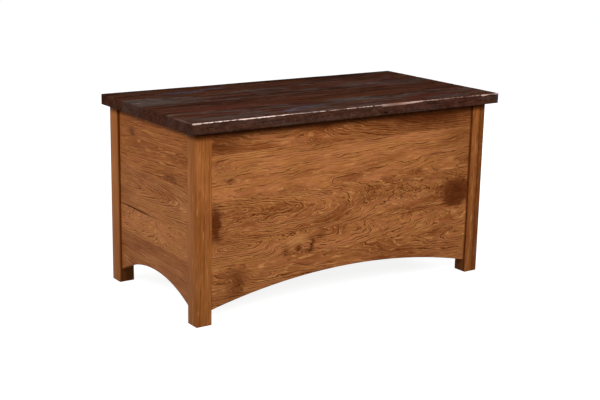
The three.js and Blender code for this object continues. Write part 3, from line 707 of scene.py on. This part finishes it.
# %% Wear of the lid
FRONT_SPREAD, RIGHT_SPREAD, TOP_SPREAD = 0.004, 0.002, 0.001
LID_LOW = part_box("lid_plank_1")[0] - Vector((0, FRONT_SPREAD, 0))
LID_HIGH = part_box("lid_plank_4")[1] + Vector((RIGHT_SPREAD, 0, TOP_SPREAD))
WEAR = ((0, 0.55), (0.022, 0.6), (0.026, 0.32), (0.11, 0.3), (0.15, 0.42), (0.2, 0.34), (0.3, 0.26), (0.45, 0.26),
        (0.574, 0.28), (0.58, 0.75), (0.62, 0.8), (0.66, 0.65), (0.72, 0.36), (0.85, 0.26), (0.93, 0.24),
        (0.937, 0.6), (0.948, 0.55), (0.955, 0.26), (0.985, 0.3), (1, 0.6))
DEEPEST_WEAR, END_WEAR, LEFT_CORNER, RIGHT_CORNER = 0.009, 0.002, 0.003, 0.004
EDGE_WAVE, EDGE_WAVE_START = 0.0006, 0.004
HOLLOW_DEPTH, RIDGE_DEPTH, HEWN_REACH = 0.0009, 0.0005, 0.012
WEAR_ROUGH, END_ROUGH = 0.25, 0.5
ROUGH_WAVES, EDGE_WAVES, HOLLOW_WAVES, RIDGE_WAVES = (45, 45, 45), (14, 0, 60), (9, 24, 0), (4, 150, 0)


def wear_depth(x):
    """How deep the front arris is worn at a place along the lid."""
    share = (x - LID_LOW.x) / (LID_HIGH.x - LID_LOW.x)
    for (before, low), (after, high) in zip(WEAR, WEAR[1:]):
        if before <= share <= after:
            return DEEPEST_WEAR * (low + (high - low) * (share - before) / (after - before))
    return DEEPEST_WEAR * WEAR[0 if share < 0.5 else -1][1]


def rounded(u, v, radius):
    """Moves a point near an arris, given by its depths under the two faces, onto the arris's rounding."""
    away = Vector((radius - u, radius - v))
    if u < radius and v < radius and away.length > radius:
        away *= radius / away.length
        return radius - away.x, radius - away.y
    return u, v


def bumpy(point, waves, seed):
    """Smooth noise to both sides of zero, with so many waves to a metre along each axis."""
    return noise.noise(Vector((point.x * waves[0], point.y * waves[1], point.z * waves[2] + seed)))


def weather(point, seed, worn_front):
    """Moves one point of a plank's net to where tools, weather and wear have left it."""
    left, right, front = point.x - LID_LOW.x, LID_HIGH.x - point.x, point.y - LID_LOW.y
    under = LID_HIGH.z - point.z
    rough = bumpy(point, ROUGH_WAVES, seed)
    if worn_front:
        front, under = rounded(front, under, wear_depth(point.x) * (1 + WEAR_ROUGH * rough))
        left, front = rounded(left, front, LEFT_CORNER)
        right, front = rounded(right, front, RIGHT_CORNER)
        front += EDGE_WAVE * (1 + bumpy(point, EDGE_WAVES, seed)) * (under > EDGE_WAVE_START)
    left, under = rounded(left, under, END_WEAR * (1 + END_ROUGH * rough))
    right, under = rounded(right, under, END_WEAR * (1 + END_ROUGH * rough))
    hollow = HOLLOW_DEPTH * (0.5 + 0.5 * bumpy(point, HOLLOW_WAVES, seed))
    ridge = RIDGE_DEPTH * abs(bumpy(point, RIDGE_WAVES, seed + 5))
    under += max(0, 1 - under / HEWN_REACH) * (hollow + ridge)
    x = LID_LOW.x + left if left < right else LID_HIGH.x - right
    return Vector((x, LID_LOW.y + front, LID_HIGH.z - under))


print("lid of", [round(side, 4) for side in LID_HIGH - LID_LOW], "m, worn up to", DEEPEST_WEAR, "m")


# %% [markdown]
# Each plank starts as a block that is a hair wider than its solid, so that no light falls through the glued
# seams. Its arrises are eased, it is cut into a net of small cells, and every point of the net is then moved.

# %% Lid planks
SEAM_EASE, SEAM_HALF = 0.0005, 0.00014
LONG_CUTS, CELL_WIDTH, HIGH_CUTS = (99, 1), 0.002, 9
NOISE_STEP = 7.3


def hewn_plank(number):
    low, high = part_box(f"lid_plank_{number}")
    low = Vector((low.x, LID_LOW.y if number == 1 else low.y - SEAM_HALF, low.z))
    high = Vector((LID_HIGH.x, high.y if number == 4 else high.y + SEAM_HALF, LID_HIGH.z))
    plank = add_block(f"hewn_plank_{number}", low, high)
    bpy.ops.object.mode_set(mode="EDIT")
    bpy.ops.mesh.select_all(action="SELECT")
    bpy.ops.mesh.bevel(offset=SEAM_EASE, segments=2)
    cut_lengths(plank, 0, *LONG_CUTS)
    cut_lengths(plank, 1, round((high.y - low.y) / CELL_WIDTH))
    cut_lengths(plank, 2, HIGH_CUTS)
    mesh = bmesh.from_edit_mesh(plank.data)
    for vertex in mesh.verts:
        vertex.co = weather(vertex.co, number * NOISE_STEP, number == 1)
    bmesh.update_edit_mesh(plank.data)
    bpy.ops.object.mode_set(mode="OBJECT")
    smooth_over(plank)
    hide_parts(f"lid_plank_{number}")
    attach(plank, "lid")
    return plank


planks = [hewn_plank(number) for number in (1, 2, 3, 4)]
print("faces of the hewn planks", [len(plank.data.polygons) for plank in planks])

# %% [markdown]
# Two things are cut into the planks. The back one has three shallow beds on its underside, in which the hinge
# leaves lie, and they have the size that the frame gives them. The front edge has an old nail hole, a little
# longer than wide, as a cut nail leaves it. A boolean modifier does such cuts cleanly.

# %% Hinge beds and the nail hole
HINGE_PLACES = (-0.30495, 0, 0.30495)
BED_HALF, BED_WIDTH, BED_DEPTH = 0.03205, 0.0163, 0.0023
OVER = 0.01
for x in HINGE_PLACES:
    bed_low = (x - BED_HALF, LID_HIGH.y - BED_WIDTH, LID_LOW.z - OVER)
    saw_out(planks[3], add_block("bed", bed_low, (x + BED_HALF, LID_HIGH.y + OVER, LID_LOW.z + BED_DEPTH)))
NAIL_HOLE, NAIL_WIDE, NAIL_POINT, NAIL_DEEP = Vector((0.091, LID_LOW.y, 0.512)), 0.0032, 0.0018, 0.02
bpy.ops.mesh.primitive_cone_add(vertices=16, radius1=NAIL_WIDE, radius2=NAIL_POINT, depth=NAIL_DEEP,
                                location=NAIL_HOLE, rotation=(-pi / 2, 0, 0), scale=(1.25, 0.7, 1))
saw_out(planks[0], settle(bpy.context.object, "nail"))
print("beds", len(HINGE_PLACES), "and one nail hole")

# %% [markdown]
# Old softwood, stained nearly black and lacquered, shows brown, dull red and blue-grey in long patches along
# the grain. Fine dark grooves mark the rings and thin cracks open. Pale specks are a painted highlight, for the
# lacquer's glints on the high spots. The net mixes these from stretched noise. It takes the amount of each tint
# from outside, because they differ from plank to plank, and a mask for the worn front arris, which carries a
# painted highlight.

# %% Old plank
STREAK_WAVES, FINE_WAVES, CRACK_WAVES, CRACKED_WAVES = (4, 75, 75), (16, 480, 480), (1.7, 42, 42), (2.5, 11, 11)
GLOSS_SPECK_WAVES, GLOSS_SPECKLED_WAVES, HIGHLIGHT_WAVES = (32, 380, 380), (7, 26, 26), (40, 260, 260)
SAWN_WAVES, SCRATCH_WAVES, HIGHLIGHT_BREAK_WAVES = (55, 55, 55), (130, 130, 130), (9, 9, 9)
PATCHES = {"Red": ((4, 20, 20), colour(84, 43, 33)), "Grey": ((7, 35, 35), colour(82, 68, 62)),
           "Blue": ((9, 45, 45), colour(74, 73, 86))}
old_group, take = open_group("old plank", {
    "Vector": ORIGIN,
    **dict.fromkeys(("Ring", "Red", "Grey", "Blue", "Warm", "Dark", "Flat", "Rubbed", "Dull"), 0.0)})
spot, flat = take["Vector"], take["Flat"]
phase = calc("FRACT", take["Ring"])
groove = fade(phase, 0.45, 0.8) * fade(phase, 0.85, 1.0, 1, 0)
streak, fine = cloudy(spot, STREAK_WAVES, 5, 0.65), cloudy(spot, FINE_WAVES, 3)
crack = fade(abs(cloudy(spot, CRACK_WAVES, 2) - 0.5), 0.001, 0.006, 1, 0)
crack = crack * fade(cloudy(spot, CRACKED_WAVES, 1), 0.5, 0.6)

tint = mix(fade(streak, 0.3, 0.7), colour(47, 27, 19), colour(93, 54, 38))
for kind, (waves, paint) in PATCHES.items():
    tint = mix(fade(cloudy(spot, waves, 4, 0.6) + take[kind] * 0.5, 0.6, 0.9), tint, paint)
tint = mix(take["Warm"] * fade(streak, 0.35, 0.6), tint, colour(92, 52, 30))
tint = mix(groove * 0.35, tint, colour(26, 14, 11))
tint = mix(fade(fine, 0.35, 0.65, 0.35, 0.0), tint, colour(30, 17, 13))
tint = mix(crack, tint, colour(14, 7, 6))

sawn = fade(cloudy(spot, SAWN_WAVES, 4, 0.65), 0.35, 0.65)
tint = mix(flat, tint, mix(sawn, colour(44, 24, 16), colour(70, 42, 31)))
scratch = fade(cloudy(spot, SCRATCH_WAVES, 3, 0.6), 0.5, 0.7, 0, 0.25) * (flat * (4 - flat * 4))
tint = mix(scratch, tint, colour(106, 78, 64))
tint = mix(take["Dark"], tint, colour(12, 6, 5))
# Pale specks are a painted highlight, for glints of the lacquer on the high spots.
gloss_speck = fade(cloudy(spot, GLOSS_SPECK_WAVES, 3), 0.56, 0.7, 0, 0.85) * fade(cloudy(spot, GLOSS_SPECKLED_WAVES, 2), 0.48, 0.64)
tint = mix(gloss_speck * (take["Grey"] + 0.25) * (1 - flat), tint, colour(146, 126, 116))
# Painted highlight on the worn front arris: near white, or a paler worn brown where Dull is set.
worn_highlight = take["Rubbed"] * fade(cloudy(spot, HIGHLIGHT_WAVES, 3), 0.2, 0.5, 0.6, 1)
worn_highlight = worn_highlight * fade(cloudy(spot, HIGHLIGHT_BREAK_WAVES, 2), 0.36, 0.5, 0.5, 1)
tint = mix(worn_highlight, tint, mix(take["Dull"], colour(236, 208, 196), colour(146, 112, 98)))
close_group(old_group, Color=tint, Roughness=fade(streak, 0.3, 0.7, 0.62, 0.46),
            Height=streak * 1.5 + fine - groove * 0.6 - crack * 2)

# %% [markdown]
# Two masks tell the old plank's net where it is. The sawn ends and the front edge are a plain dark brown. The
# worn front arris carries a painted highlight over its paler wood, and is found by how close a point lies to the
# edge, set against the same list of wear depths that shaped it.

# %% Sawn faces and the painted highlight on the worn arris
END_SAWN, FRONT_SAWN, FRONT_FLAT = (0.004, 0.0005), (0.001, 0.005), 0.6
WEAR_POWER, UNEVEN_WAVES, FRONT_UNEVEN, LEFT_UNEVEN = 1.25, (90, 200, 200), 0.003, 0.006
FRONT_EDGE, LEFT_EDGE, LEFT_HIGHLIGHT, LEFT_END = (0, 0.001), (0.002, 0.006), 0.06, (0.06, 0.12)


def flat_faces(spot):
    """One on the sawn ends, and a little less on the front edge."""
    place = split(spot)
    end = fade(abs(place["X"]), *(LID_HIGH.x - inside for inside in END_SAWN))
    return calc("MAXIMUM", end, fade(place["Y"], *(LID_LOW.y + inside for inside in FRONT_SAWN), FRONT_FLAT, 0))


def arris_highlight_mask(spot):
    """Mask of the painted highlight: one on the worn front arris, a little at the left end's front, and nothing
    elsewhere.
    """
    place = split(spot)
    ramp = node("ValToRGB", {0: node("MapRange", {0: place["X"], 1: LID_LOW.x, 2: LID_HIGH.x})[0]})[0]
    stops = ramp.socket.node.color_ramp.elements
    while len(stops) < len(WEAR):
        stops.new(0.5)
    for stop, (at, deep) in zip(stops, WEAR):
        stop.position, stop.color = at, (deep, deep, deep, 1)
    radius = node("Math", {0: ramp, 1: WEAR_POWER}, operation="POWER")[0] * DEEPEST_WEAR
    under = LID_HIGH.z - place["Z"]
    uneven = cloudy(spot, UNEVEN_WAVES, 2) - 0.5
    front = fade(uneven * FRONT_UNEVEN + (place["Y"] - LID_LOW.y + under) - radius, *FRONT_EDGE, 1, 0)
    left = fade(uneven * LEFT_UNEVEN + (place["X"] - LID_LOW.x + under), *LEFT_EDGE, LEFT_HIGHLIGHT, 0)
    return calc("MAXIMUM", front, left * fade(place["Y"], *(LID_LOW.y + inside for inside in LEFT_END), 1, 0))


# %% [markdown]
# Seen from the front the lid has four bands: a grey-brown plank in front, then a redder one, a mixed one, and a
# back one with blue-grey patches to the left and a warm strip along its back edge. Each plank's line in the
# table gives its tints, and the places of its own patches.

# %% Finish of the lid
GRAIN_DEPTH, LID_SEED = 0.0005, 20
PLANK_TINTS = {
    1: dict(red=0.2, grey=0.4, blue=-0.1, stains=[
        ((-0.145, -0.195), (0.13, 0.035), "Blue", 0.65), ((-0.36, -0.15), (0.1, 0.03), "Red", 0.6),
        ((0.06, -0.15), (0.07, 0.03), "Grey", 0.5), ((0.3, -0.26), (0.13, 0.05), "Red", 0.9),
        ((0.3, -0.17), (0.12, 0.035), "Red", 0.5), ((0.46, -0.26), (0.05, 0.05), "Warm", 1.0),
        (NAIL_HOLE, (0.0055, 0.01, 0.003), "Dark", 1.0), ((0.5, -0.26), (0.012, 0.02), "Blue", 1.0),
        ((0.13, -0.26), (0.07, 0.05), "Dull", 0.9), ((0.34, -0.26), (0.13, 0.05), "Dull", 1.0)]),
    2: dict(red=0.25, grey=0.1, blue=-0.4, stains=[
        ((0.02, -0.1), (0.2, 0.045), "Warm", 0.8), ((-0.35, -0.1), (0.12, 0.04), "Red", 0.5)]),
    3: dict(red=0.15, grey=0.4, blue=-0.2, stains=[
        ((-0.43, 0.08), (0.1, 0.06), "Grey", 0.5), ((0.32, 0.06), (0.16, 0.06), "Red", 0.8),
        ((0.44, 0.06), (0.09, 0.07), "Dark", 0.3), ((-0.3, 0.02), (0.05, 0.03), "Blue", 0.4)]),
    4: dict(red=0.2, grey=0.2, blue=-0.1, stains=[
        ((-0.3, 0.164), (0.09, 0.025), "Blue", 0.7), ((-0.18, 0.19), (0.07, 0.02), "Blue", 0.6),
        ((0.12, 0.14), (0.08, 0.03), "Blue", 0.4), ((0.1, 0.225), (0.12, 0.02), "Warm", 0.9),
        ((0.3, 0.2), (0.2, 0.06), "Dark", 0.3), ((0.0, 0.235), (0.6, 0.025), "Dark", 0.4),
        ((-0.34, 0.225), (0.1, 0.02), "Warm", 0.7)]),
}


def old_plank(number, red, grey, blue, stains):
    """A stain with a place and size of two numbers lies on top of the lid, and reaches right through it."""
    name, grain = f"lid_plank_{number}", "X flat"
    material, spot = start_finish(f"old plank {number}")
    local, seed = along_grain(spot, name, grain), seed_vector(LID_SEED + number)
    amounts = {"Red": red, "Grey": grey, "Blue": blue, "Warm": 0.0, "Dark": 0.0, "Dull": 0.0}
    for place, size, kind, more in stains:
        long, wide, high = (*size, 1)[:3]
        amounts[kind] += hill(local, (*place, LID_HIGH.z)[:3], (long, high, wide), name, grain) * more
    ring = use_group(rings_group, {"Vector": local, "Middle": (0, 0.06, 0.03), "Taper": 0.03, "Spacing": 0.0045,
                                   "Wander": 0.03, "Flame": 0.004, "Seed": seed})["Ring"]
    arris_highlight = arris_highlight_mask(spot) if number == 1 else 0.0
    look = use_group(old_group, {"Vector": local + seed, "Ring": ring, "Flat": flat_faces(spot), "Rubbed": arris_highlight,
                                 **amounts})
    return end_finish(material, look, GRAIN_DEPTH, {"Specular IOR Level": 0.0})


for number, plank in enumerate(planks, start=1):
    dress(plank, old_plank(number, **PLANK_TINTS[number]))
print("lid finishes", [plank.material_slots[0].name for plank in planks])

# %% [markdown]
# Each post is one square length of the same wood. Its long arrises are taken off with a plane, its foot is
# eased so that it doesn't splinter on the floor, and two stopped grooves take the tongues of the walls. A
# block gets bevels for the first two, and the grooves are sawn out of it where the frame has them.

# %% Posts
ARRIS_EASE, FOOT_EASE, AT_FLOOR = 0.002, 0.0015, 0.0001
GROOVE_DEPTH, GROOVE_WIDTH, GROOVE_START = 0.0103, 0.0101, 0.0367
TONGUE_INSET, WALL_RECESS = 0.00445, 0.007


def across_groove(outer, inward, recess):
    """The two sides of a groove, in a post whose outer face stands proud of the wall by a recess."""
    first = outer + inward * (recess + TONGUE_INSET)
    return sorted((first, first + inward * GROOVE_WIDTH))


def into_groove(inner, outward):
    """The depth of a groove that starts from a post's inner face, where the saw comes from a little outside."""
    return sorted((inner + outward * GROOVE_DEPTH, inner - outward * OVER))


def make_post(name, side, end):
    """Side is -1 on the left and 1 on the right, and end is -1 in front and 1 at the back."""
    low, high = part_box(name)
    post = add_block("eased_" + name, low, high)
    bpy.ops.object.mode_set(mode="EDIT")
    pick_edges(post, lambda edge: runs_along(edge, 2))
    bpy.ops.mesh.bevel(offset=ARRIS_EASE, segments=3)
    pick_edges(post, lambda edge: max(vertex.co.z for vertex in edge.verts) < low.z + AT_FLOOR)
    bpy.ops.mesh.bevel(offset=FOOT_EASE, segments=2)
    bpy.ops.object.mode_set(mode="OBJECT")
    outer_x, inner_x = (low.x, high.x) if side < 0 else (high.x, low.x)
    outer_y, inner_y = (low.y, high.y) if end < 0 else (high.y, low.y)
    grooves = (
        (into_groove(inner_x, side), across_groove(outer_y, -end, WALL_RECESS if end < 0 else 0)),
        (across_groove(outer_x, -side, WALL_RECESS), into_groove(inner_y, end)),
    )
    for (left, right), (front, back) in grooves:
        saw_out(post, add_block("groove", (left, front, GROOVE_START), (right, back, high.z + OVER)))
    smooth_over(post)
    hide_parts(name)
    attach(post, "case")
    return post


POST = dict(middle=(0, 0.12, 0.06), wander=0.006, flame=0.001, taper=0.004, spacing=0.0034, colours=WARM)
POST_FIGURES = {
    # The dark patch at the top of this post is painted shade under the lid, not a knot.
    "post_front_left": dict(POST, seed=31, lines=0.55, cloud=0.6, knots=[((-0.455, 0.49), (0.05, 0.1), 0, 0.25)]),
    "post_front_right": dict(POST, seed=32, lines=0.6, cloud=0.7, tone=0.16, knots=[
        ((0.461, 0.3), (0.5, 0.003), 0, 0.7), ((0.474, 0.3), (0.5, 0.012), 0, 0.5),
        ((0.446, 0.3), (0.5, 0.008), 0, -0.2)]),
    "post_back_left": dict(POST, seed=33, lines=0.3, cloud=0.5, tone=-0.05),
    "post_back_right": dict(POST, seed=34, lines=0.4, cloud=0.6, tone=0.05),
}
for name, figure in POST_FIGURES.items():
    post = make_post(name, -1 if "left" in name else 1, -1 if "front" in name else 1)
    dress(post, stained_board(name, "Z", **figure))
    print(post.name, len(post.data.polygons), "faces")

# %% [markdown]
# Inside, nothing is stained. The bottom is aromatic cedar, pinkish with darker rings, laid front to back. The
# cleats that carry it and the battens under the lid are poplar, pale with a brown cast. Both take the same
# ring pattern as the walls with other colours, because wood is built alike, and they stay nearly dull.

# %% Bare woods
CEDAR = dict(middle=(0, 0.03, 0.02), spacing=0.005, wander=0.03, flame=0.004, lines=0.55, cloud=0.8, colours={
    "Pale": colour(214, 160, 122), "Middle": colour(186, 120, 84), "Deep": colour(120, 62, 40)})
POPLAR = dict(middle=(0, 0.05, 0.03), spacing=0.003, wander=0.02, flame=0.002, lines=0.35, cloud=0.8, colours={
    "Pale": colour(206, 184, 150), "Middle": colour(186, 160, 122), "Deep": colour(132, 108, 80)})
CEDAR_TONES = (0.12, -0.15, 0.05, 0.2, -0.08, 0.1)
bottom = [name for name in nodes if name.startswith("bottom_board")]
strips = [name for name in nodes if name.startswith(("cleat", "lid_batten"))]
for seed, (name, tone) in enumerate(zip(bottom, CEDAR_TONES), start=41):
    dress(nodes[name], stained_board(name, "Y flat", seed, tone=tone, **CEDAR))
for seed, name in enumerate(strips, start=51):
    dress(nodes[name], stained_board(name, "X" if name in ("cleat_front", "cleat_back") else "Y", seed, **POPLAR))
print("cedar boards", len(bottom), "and poplar strips", len(strips))

# %% [markdown]
# The hinges are brass and the folding stays are zinc-plated steel. Both come from a rolled sheet, so fine
# lines run over them, and both have dulled in spots since. A cloudy noise mixes the clean metal with its
# tarnish, the same noise makes it rougher there, and a fine stretched noise gives the rolled lines.

# %% Metals
ROLLED_DEPTH = 0.00003
BLOTCH_WAVES, SPOT_WAVES = (90, 90, 90), (600, 600, 600)
ALONG_X, ALONG_Y = (60.0, 2500.0, 2500.0), (2500.0, 60.0, 2500.0)
metal_group, take = open_group("rolled metal", {
    "Vector": ORIGIN, "Clean": (0.6, 0.6, 0.6, 1.0), "Tarnish": (0.3, 0.3, 0.3, 1.0), "Stretch": ALONG_X})
blotch, spots = cloudy(take["Vector"], BLOTCH_WAVES, 4, 0.6), cloudy(take["Vector"], SPOT_WAVES, 2)
rolled = cloudy(take["Vector"], take["Stretch"], 2)
dull = fade(blotch, 0.4, 0.7) * fade(spots, 0.3, 0.6, 0.4, 1)
tint = mix(dull, take["Clean"], take["Tarnish"])
tint = mix(fade(rolled, 0.35, 0.65, 0.0, 0.25), tint, take["Tarnish"])
close_group(metal_group, Color=tint, Roughness=dull * 0.25 + 0.3, Height=rolled - dull)


def metal(name, clean, tarnish, stretch):
    material, spot = start_finish(name)
    look = use_group(metal_group, {"Vector": spot, "Clean": clean, "Tarnish": tarnish, "Stretch": stretch})
    return end_finish(material, look, ROLLED_DEPTH, {"Metallic": 1.0})


brass = metal("brass", colour(206, 168, 98), colour(138, 100, 50), ALONG_X)
steel = metal("zinc plated steel", colour(190, 192, 194), colour(132, 134, 136), ALONG_Y)
for name, solid in nodes.items():
    if name.startswith("hinge"):
        dress(solid, brass)
    if "arm" in name or "bracket" in name:
        dress(solid, steel)
print("metal solids", sum(solid.active_material in (brass, steel) for solid in nodes.values()))

# %% [markdown]
# Countersunk screws with a slot hold the hinges, the stays, the battens and the cleats. A screw is turned
# from a round bar: a flat disc is drawn out downwards step by step, and narrowed for the neck, the shank and
# the point. The slot is then sawn across the head. One screw of each size is made.

# %% Three screws
SCREW_SIDES = 24
SLOT_WIDTH_SHARE, SLOT_DEPTH_SHARE = 0.23, 0.42
RIM_SHARE, NECK_SHARE, SHANK_STEP, SHANK_RATIO, POINT_RATIO, POINT_NECKS = 0.1, 0.3, 0.001, 0.8, 0.15, 3


def turn_screw(head, neck, sink, length):
    """A screw that points down, with the rim of its head at height zero."""
    bpy.ops.mesh.primitive_circle_add(vertices=SCREW_SIDES, radius=head, fill_type="NGON")
    screw = bpy.context.object
    point = POINT_NECKS * neck
    shank = (1 - NECK_SHARE) * length - sink - point - SHANK_STEP
    steps = ((RIM_SHARE * sink, 1), ((1 - RIM_SHARE) * sink, neck / head), (NECK_SHARE * length, 1),
             (SHANK_STEP, SHANK_RATIO), (shank, 1), (point, POINT_RATIO))
    bpy.ops.object.mode_set(mode="EDIT")
    bpy.ops.mesh.select_all(action="SELECT")
    for down, ratio in steps:
        bpy.ops.mesh.extrude_region_move(TRANSFORM_OT_translate={"value": (0, 0, -down)})
        bpy.ops.transform.resize(value=(ratio, ratio, 1), center_override=(0, 0, 0))
    bpy.ops.mesh.select_all(action="SELECT")
    bpy.ops.mesh.normals_make_consistent(inside=False)
    bpy.ops.object.mode_set(mode="OBJECT")
    slot_half = SLOT_WIDTH_SHARE * head / 2
    saw_out(screw, add_block("slot", (-2 * head, -slot_half, -SLOT_DEPTH_SHARE * sink), (2 * head, slot_half, head)))
    smooth_over(screw)
    return screw


hinge_screw = turn_screw(0.0039, 0.0021, 0.002, 0.014)
stay_screw = turn_screw(0.0034, 0.0019, 0.0018, 0.014)
wood_screw = turn_screw(0.0042, 0.0022, 0.0024, 0.026)
print("faces of the screws", [len(screw.data.polygons) for screw in (hinge_screw, stay_screw, wood_screw)])

# %% [markdown]
# The other screws are copies, and each stops at an angle of its own, as real screws do. All screws of one
# fitting are joined into one piece, which rides on the part that they are driven into.

# %% Driving the screws
HEAD_PROUD = 0.0001
UP, DOWN = (0, 0, 1), (0, 0, -1)
METALS = {"brass": brass, "plated_steel": steel}


def drive_screws(name, screw, places, toward, body, slot_name="plated_steel"):
    """Sets copies of a screw at the places, with their heads toward one side, and joins them into one piece."""
    toward = Vector(toward)
    driven = []
    for place in places:
        turn = noise.random() * 2 * pi
        one = copy_of(screw, name)
        one.matrix_world = (
            Matrix.Translation(Vector(place) + HEAD_PROUD * toward)
            @ toward.to_track_quat("Z", "Y").to_matrix().to_4x4()
            @ Matrix.Rotation(turn, 4, "Z")
        )
        driven.append(one)
    take_up(driven[0])
    for one in driven:
        one.select_set(True)
    bpy.ops.object.join()
    joined = settle(bpy.context.object, name)
    dress(joined, METALS[slot_name])
    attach(joined, body)


ANGLE_SEED = 11
noise.seed_set(ANGLE_SEED)
SCREW_ALONG, SCREW_LINE = 0.0222, 0.2401
case_top, lid_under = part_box("back_board_1")[1].z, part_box("lid_plank_4")[0].z
for side, x in zip(("left", "middle", "right"), HINGE_PLACES):
    row = [(x + way * SCREW_ALONG, SCREW_LINE) for way in (-1, 0, 1)]
    drive_screws(f"hinge_{side}_case_screws", hinge_screw, [(*at, case_top) for at in row], UP, "case", "brass")
    drive_screws(f"hinge_{side}_lid_screws", hinge_screw, [(*at, lid_under) for at in row], DOWN, "lid", "brass")
STAY_PIVOT_Y, STAY_PIVOT_Z, STAY_SCREW_HALF, STAY_SCREW_X = 0.2134, 0.33585, 0.021, 0.4307
LID_PIVOT_Y, LID_SCREW_HALF, LID_SCREW_X, BRACKET_PLATE = 0.0024, 0.014, 0.4115, 0.002
for side, way in (("left", -1), ("right", 1)):
    places = [(way * STAY_SCREW_X, STAY_PIVOT_Y, STAY_PIVOT_Z + up * STAY_SCREW_HALF) for up in (-1, 1)]
    drive_screws(f"stay_{side}_case_screws", stay_screw, places, (-way, 0, 0), "case")
    under = case_top - BRACKET_PLATE
    places = [(way * LID_SCREW_X, LID_PIVOT_Y + along * LID_SCREW_HALF, under) for along in (-1, 1)]
    drive_screws(f"stay_{side}_lid_screws", stay_screw, places, DOWN, "lid")
BATTEN_SCREWS_Y, BATTEN_STAGGER = (-0.165, -0.135, -0.09, -0.03, 0.03, 0.095, 0.15, 0.19), 0.012
for side in ("left", "middle", "right"):
    low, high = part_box("lid_batten_" + side)
    places = [((low.x + high.x) / 2 + BATTEN_STAGGER * (-1) ** row, y, low.z) for row, y in enumerate(BATTEN_SCREWS_Y)]
    drive_screws(f"batten_{side}_screws", wood_screw, places, DOWN, "lid")
CLEAT_SCREWS_X, CLEAT_SCREWS_Y = (-0.36, -0.12, 0.12, 0.36), (-0.15, 0.007, 0.165)
CLEATS = {"cleat_front": (0, 1, 0), "cleat_back": (0, -1, 0), "cleat_left": (1, 0, 0), "cleat_right": (-1, 0, 0)}
for name, inward in CLEATS.items():
    low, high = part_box(name)
    face, z = (high if sum(inward) > 0 else low), (low.z + high.z) / 2
    if inward[1]:
        places = [(x, face.y, z) for x in CLEAT_SCREWS_X]
    else:
        places = [(face.x, y, z) for y in CLEAT_SCREWS_Y]
    drive_screws(name + "_screws", wood_screw, places, inward, "case")
for screw in (hinge_screw, stay_screw, wood_screw):
    bpy.data.objects.remove(screw)
screw_pieces = [item for item in bpy.data.objects if item.name.endswith("_screws")]
print("screw pieces", len(screw_pieces), "faces", sum(len(item.data.polygons) for item in screw_pieces))
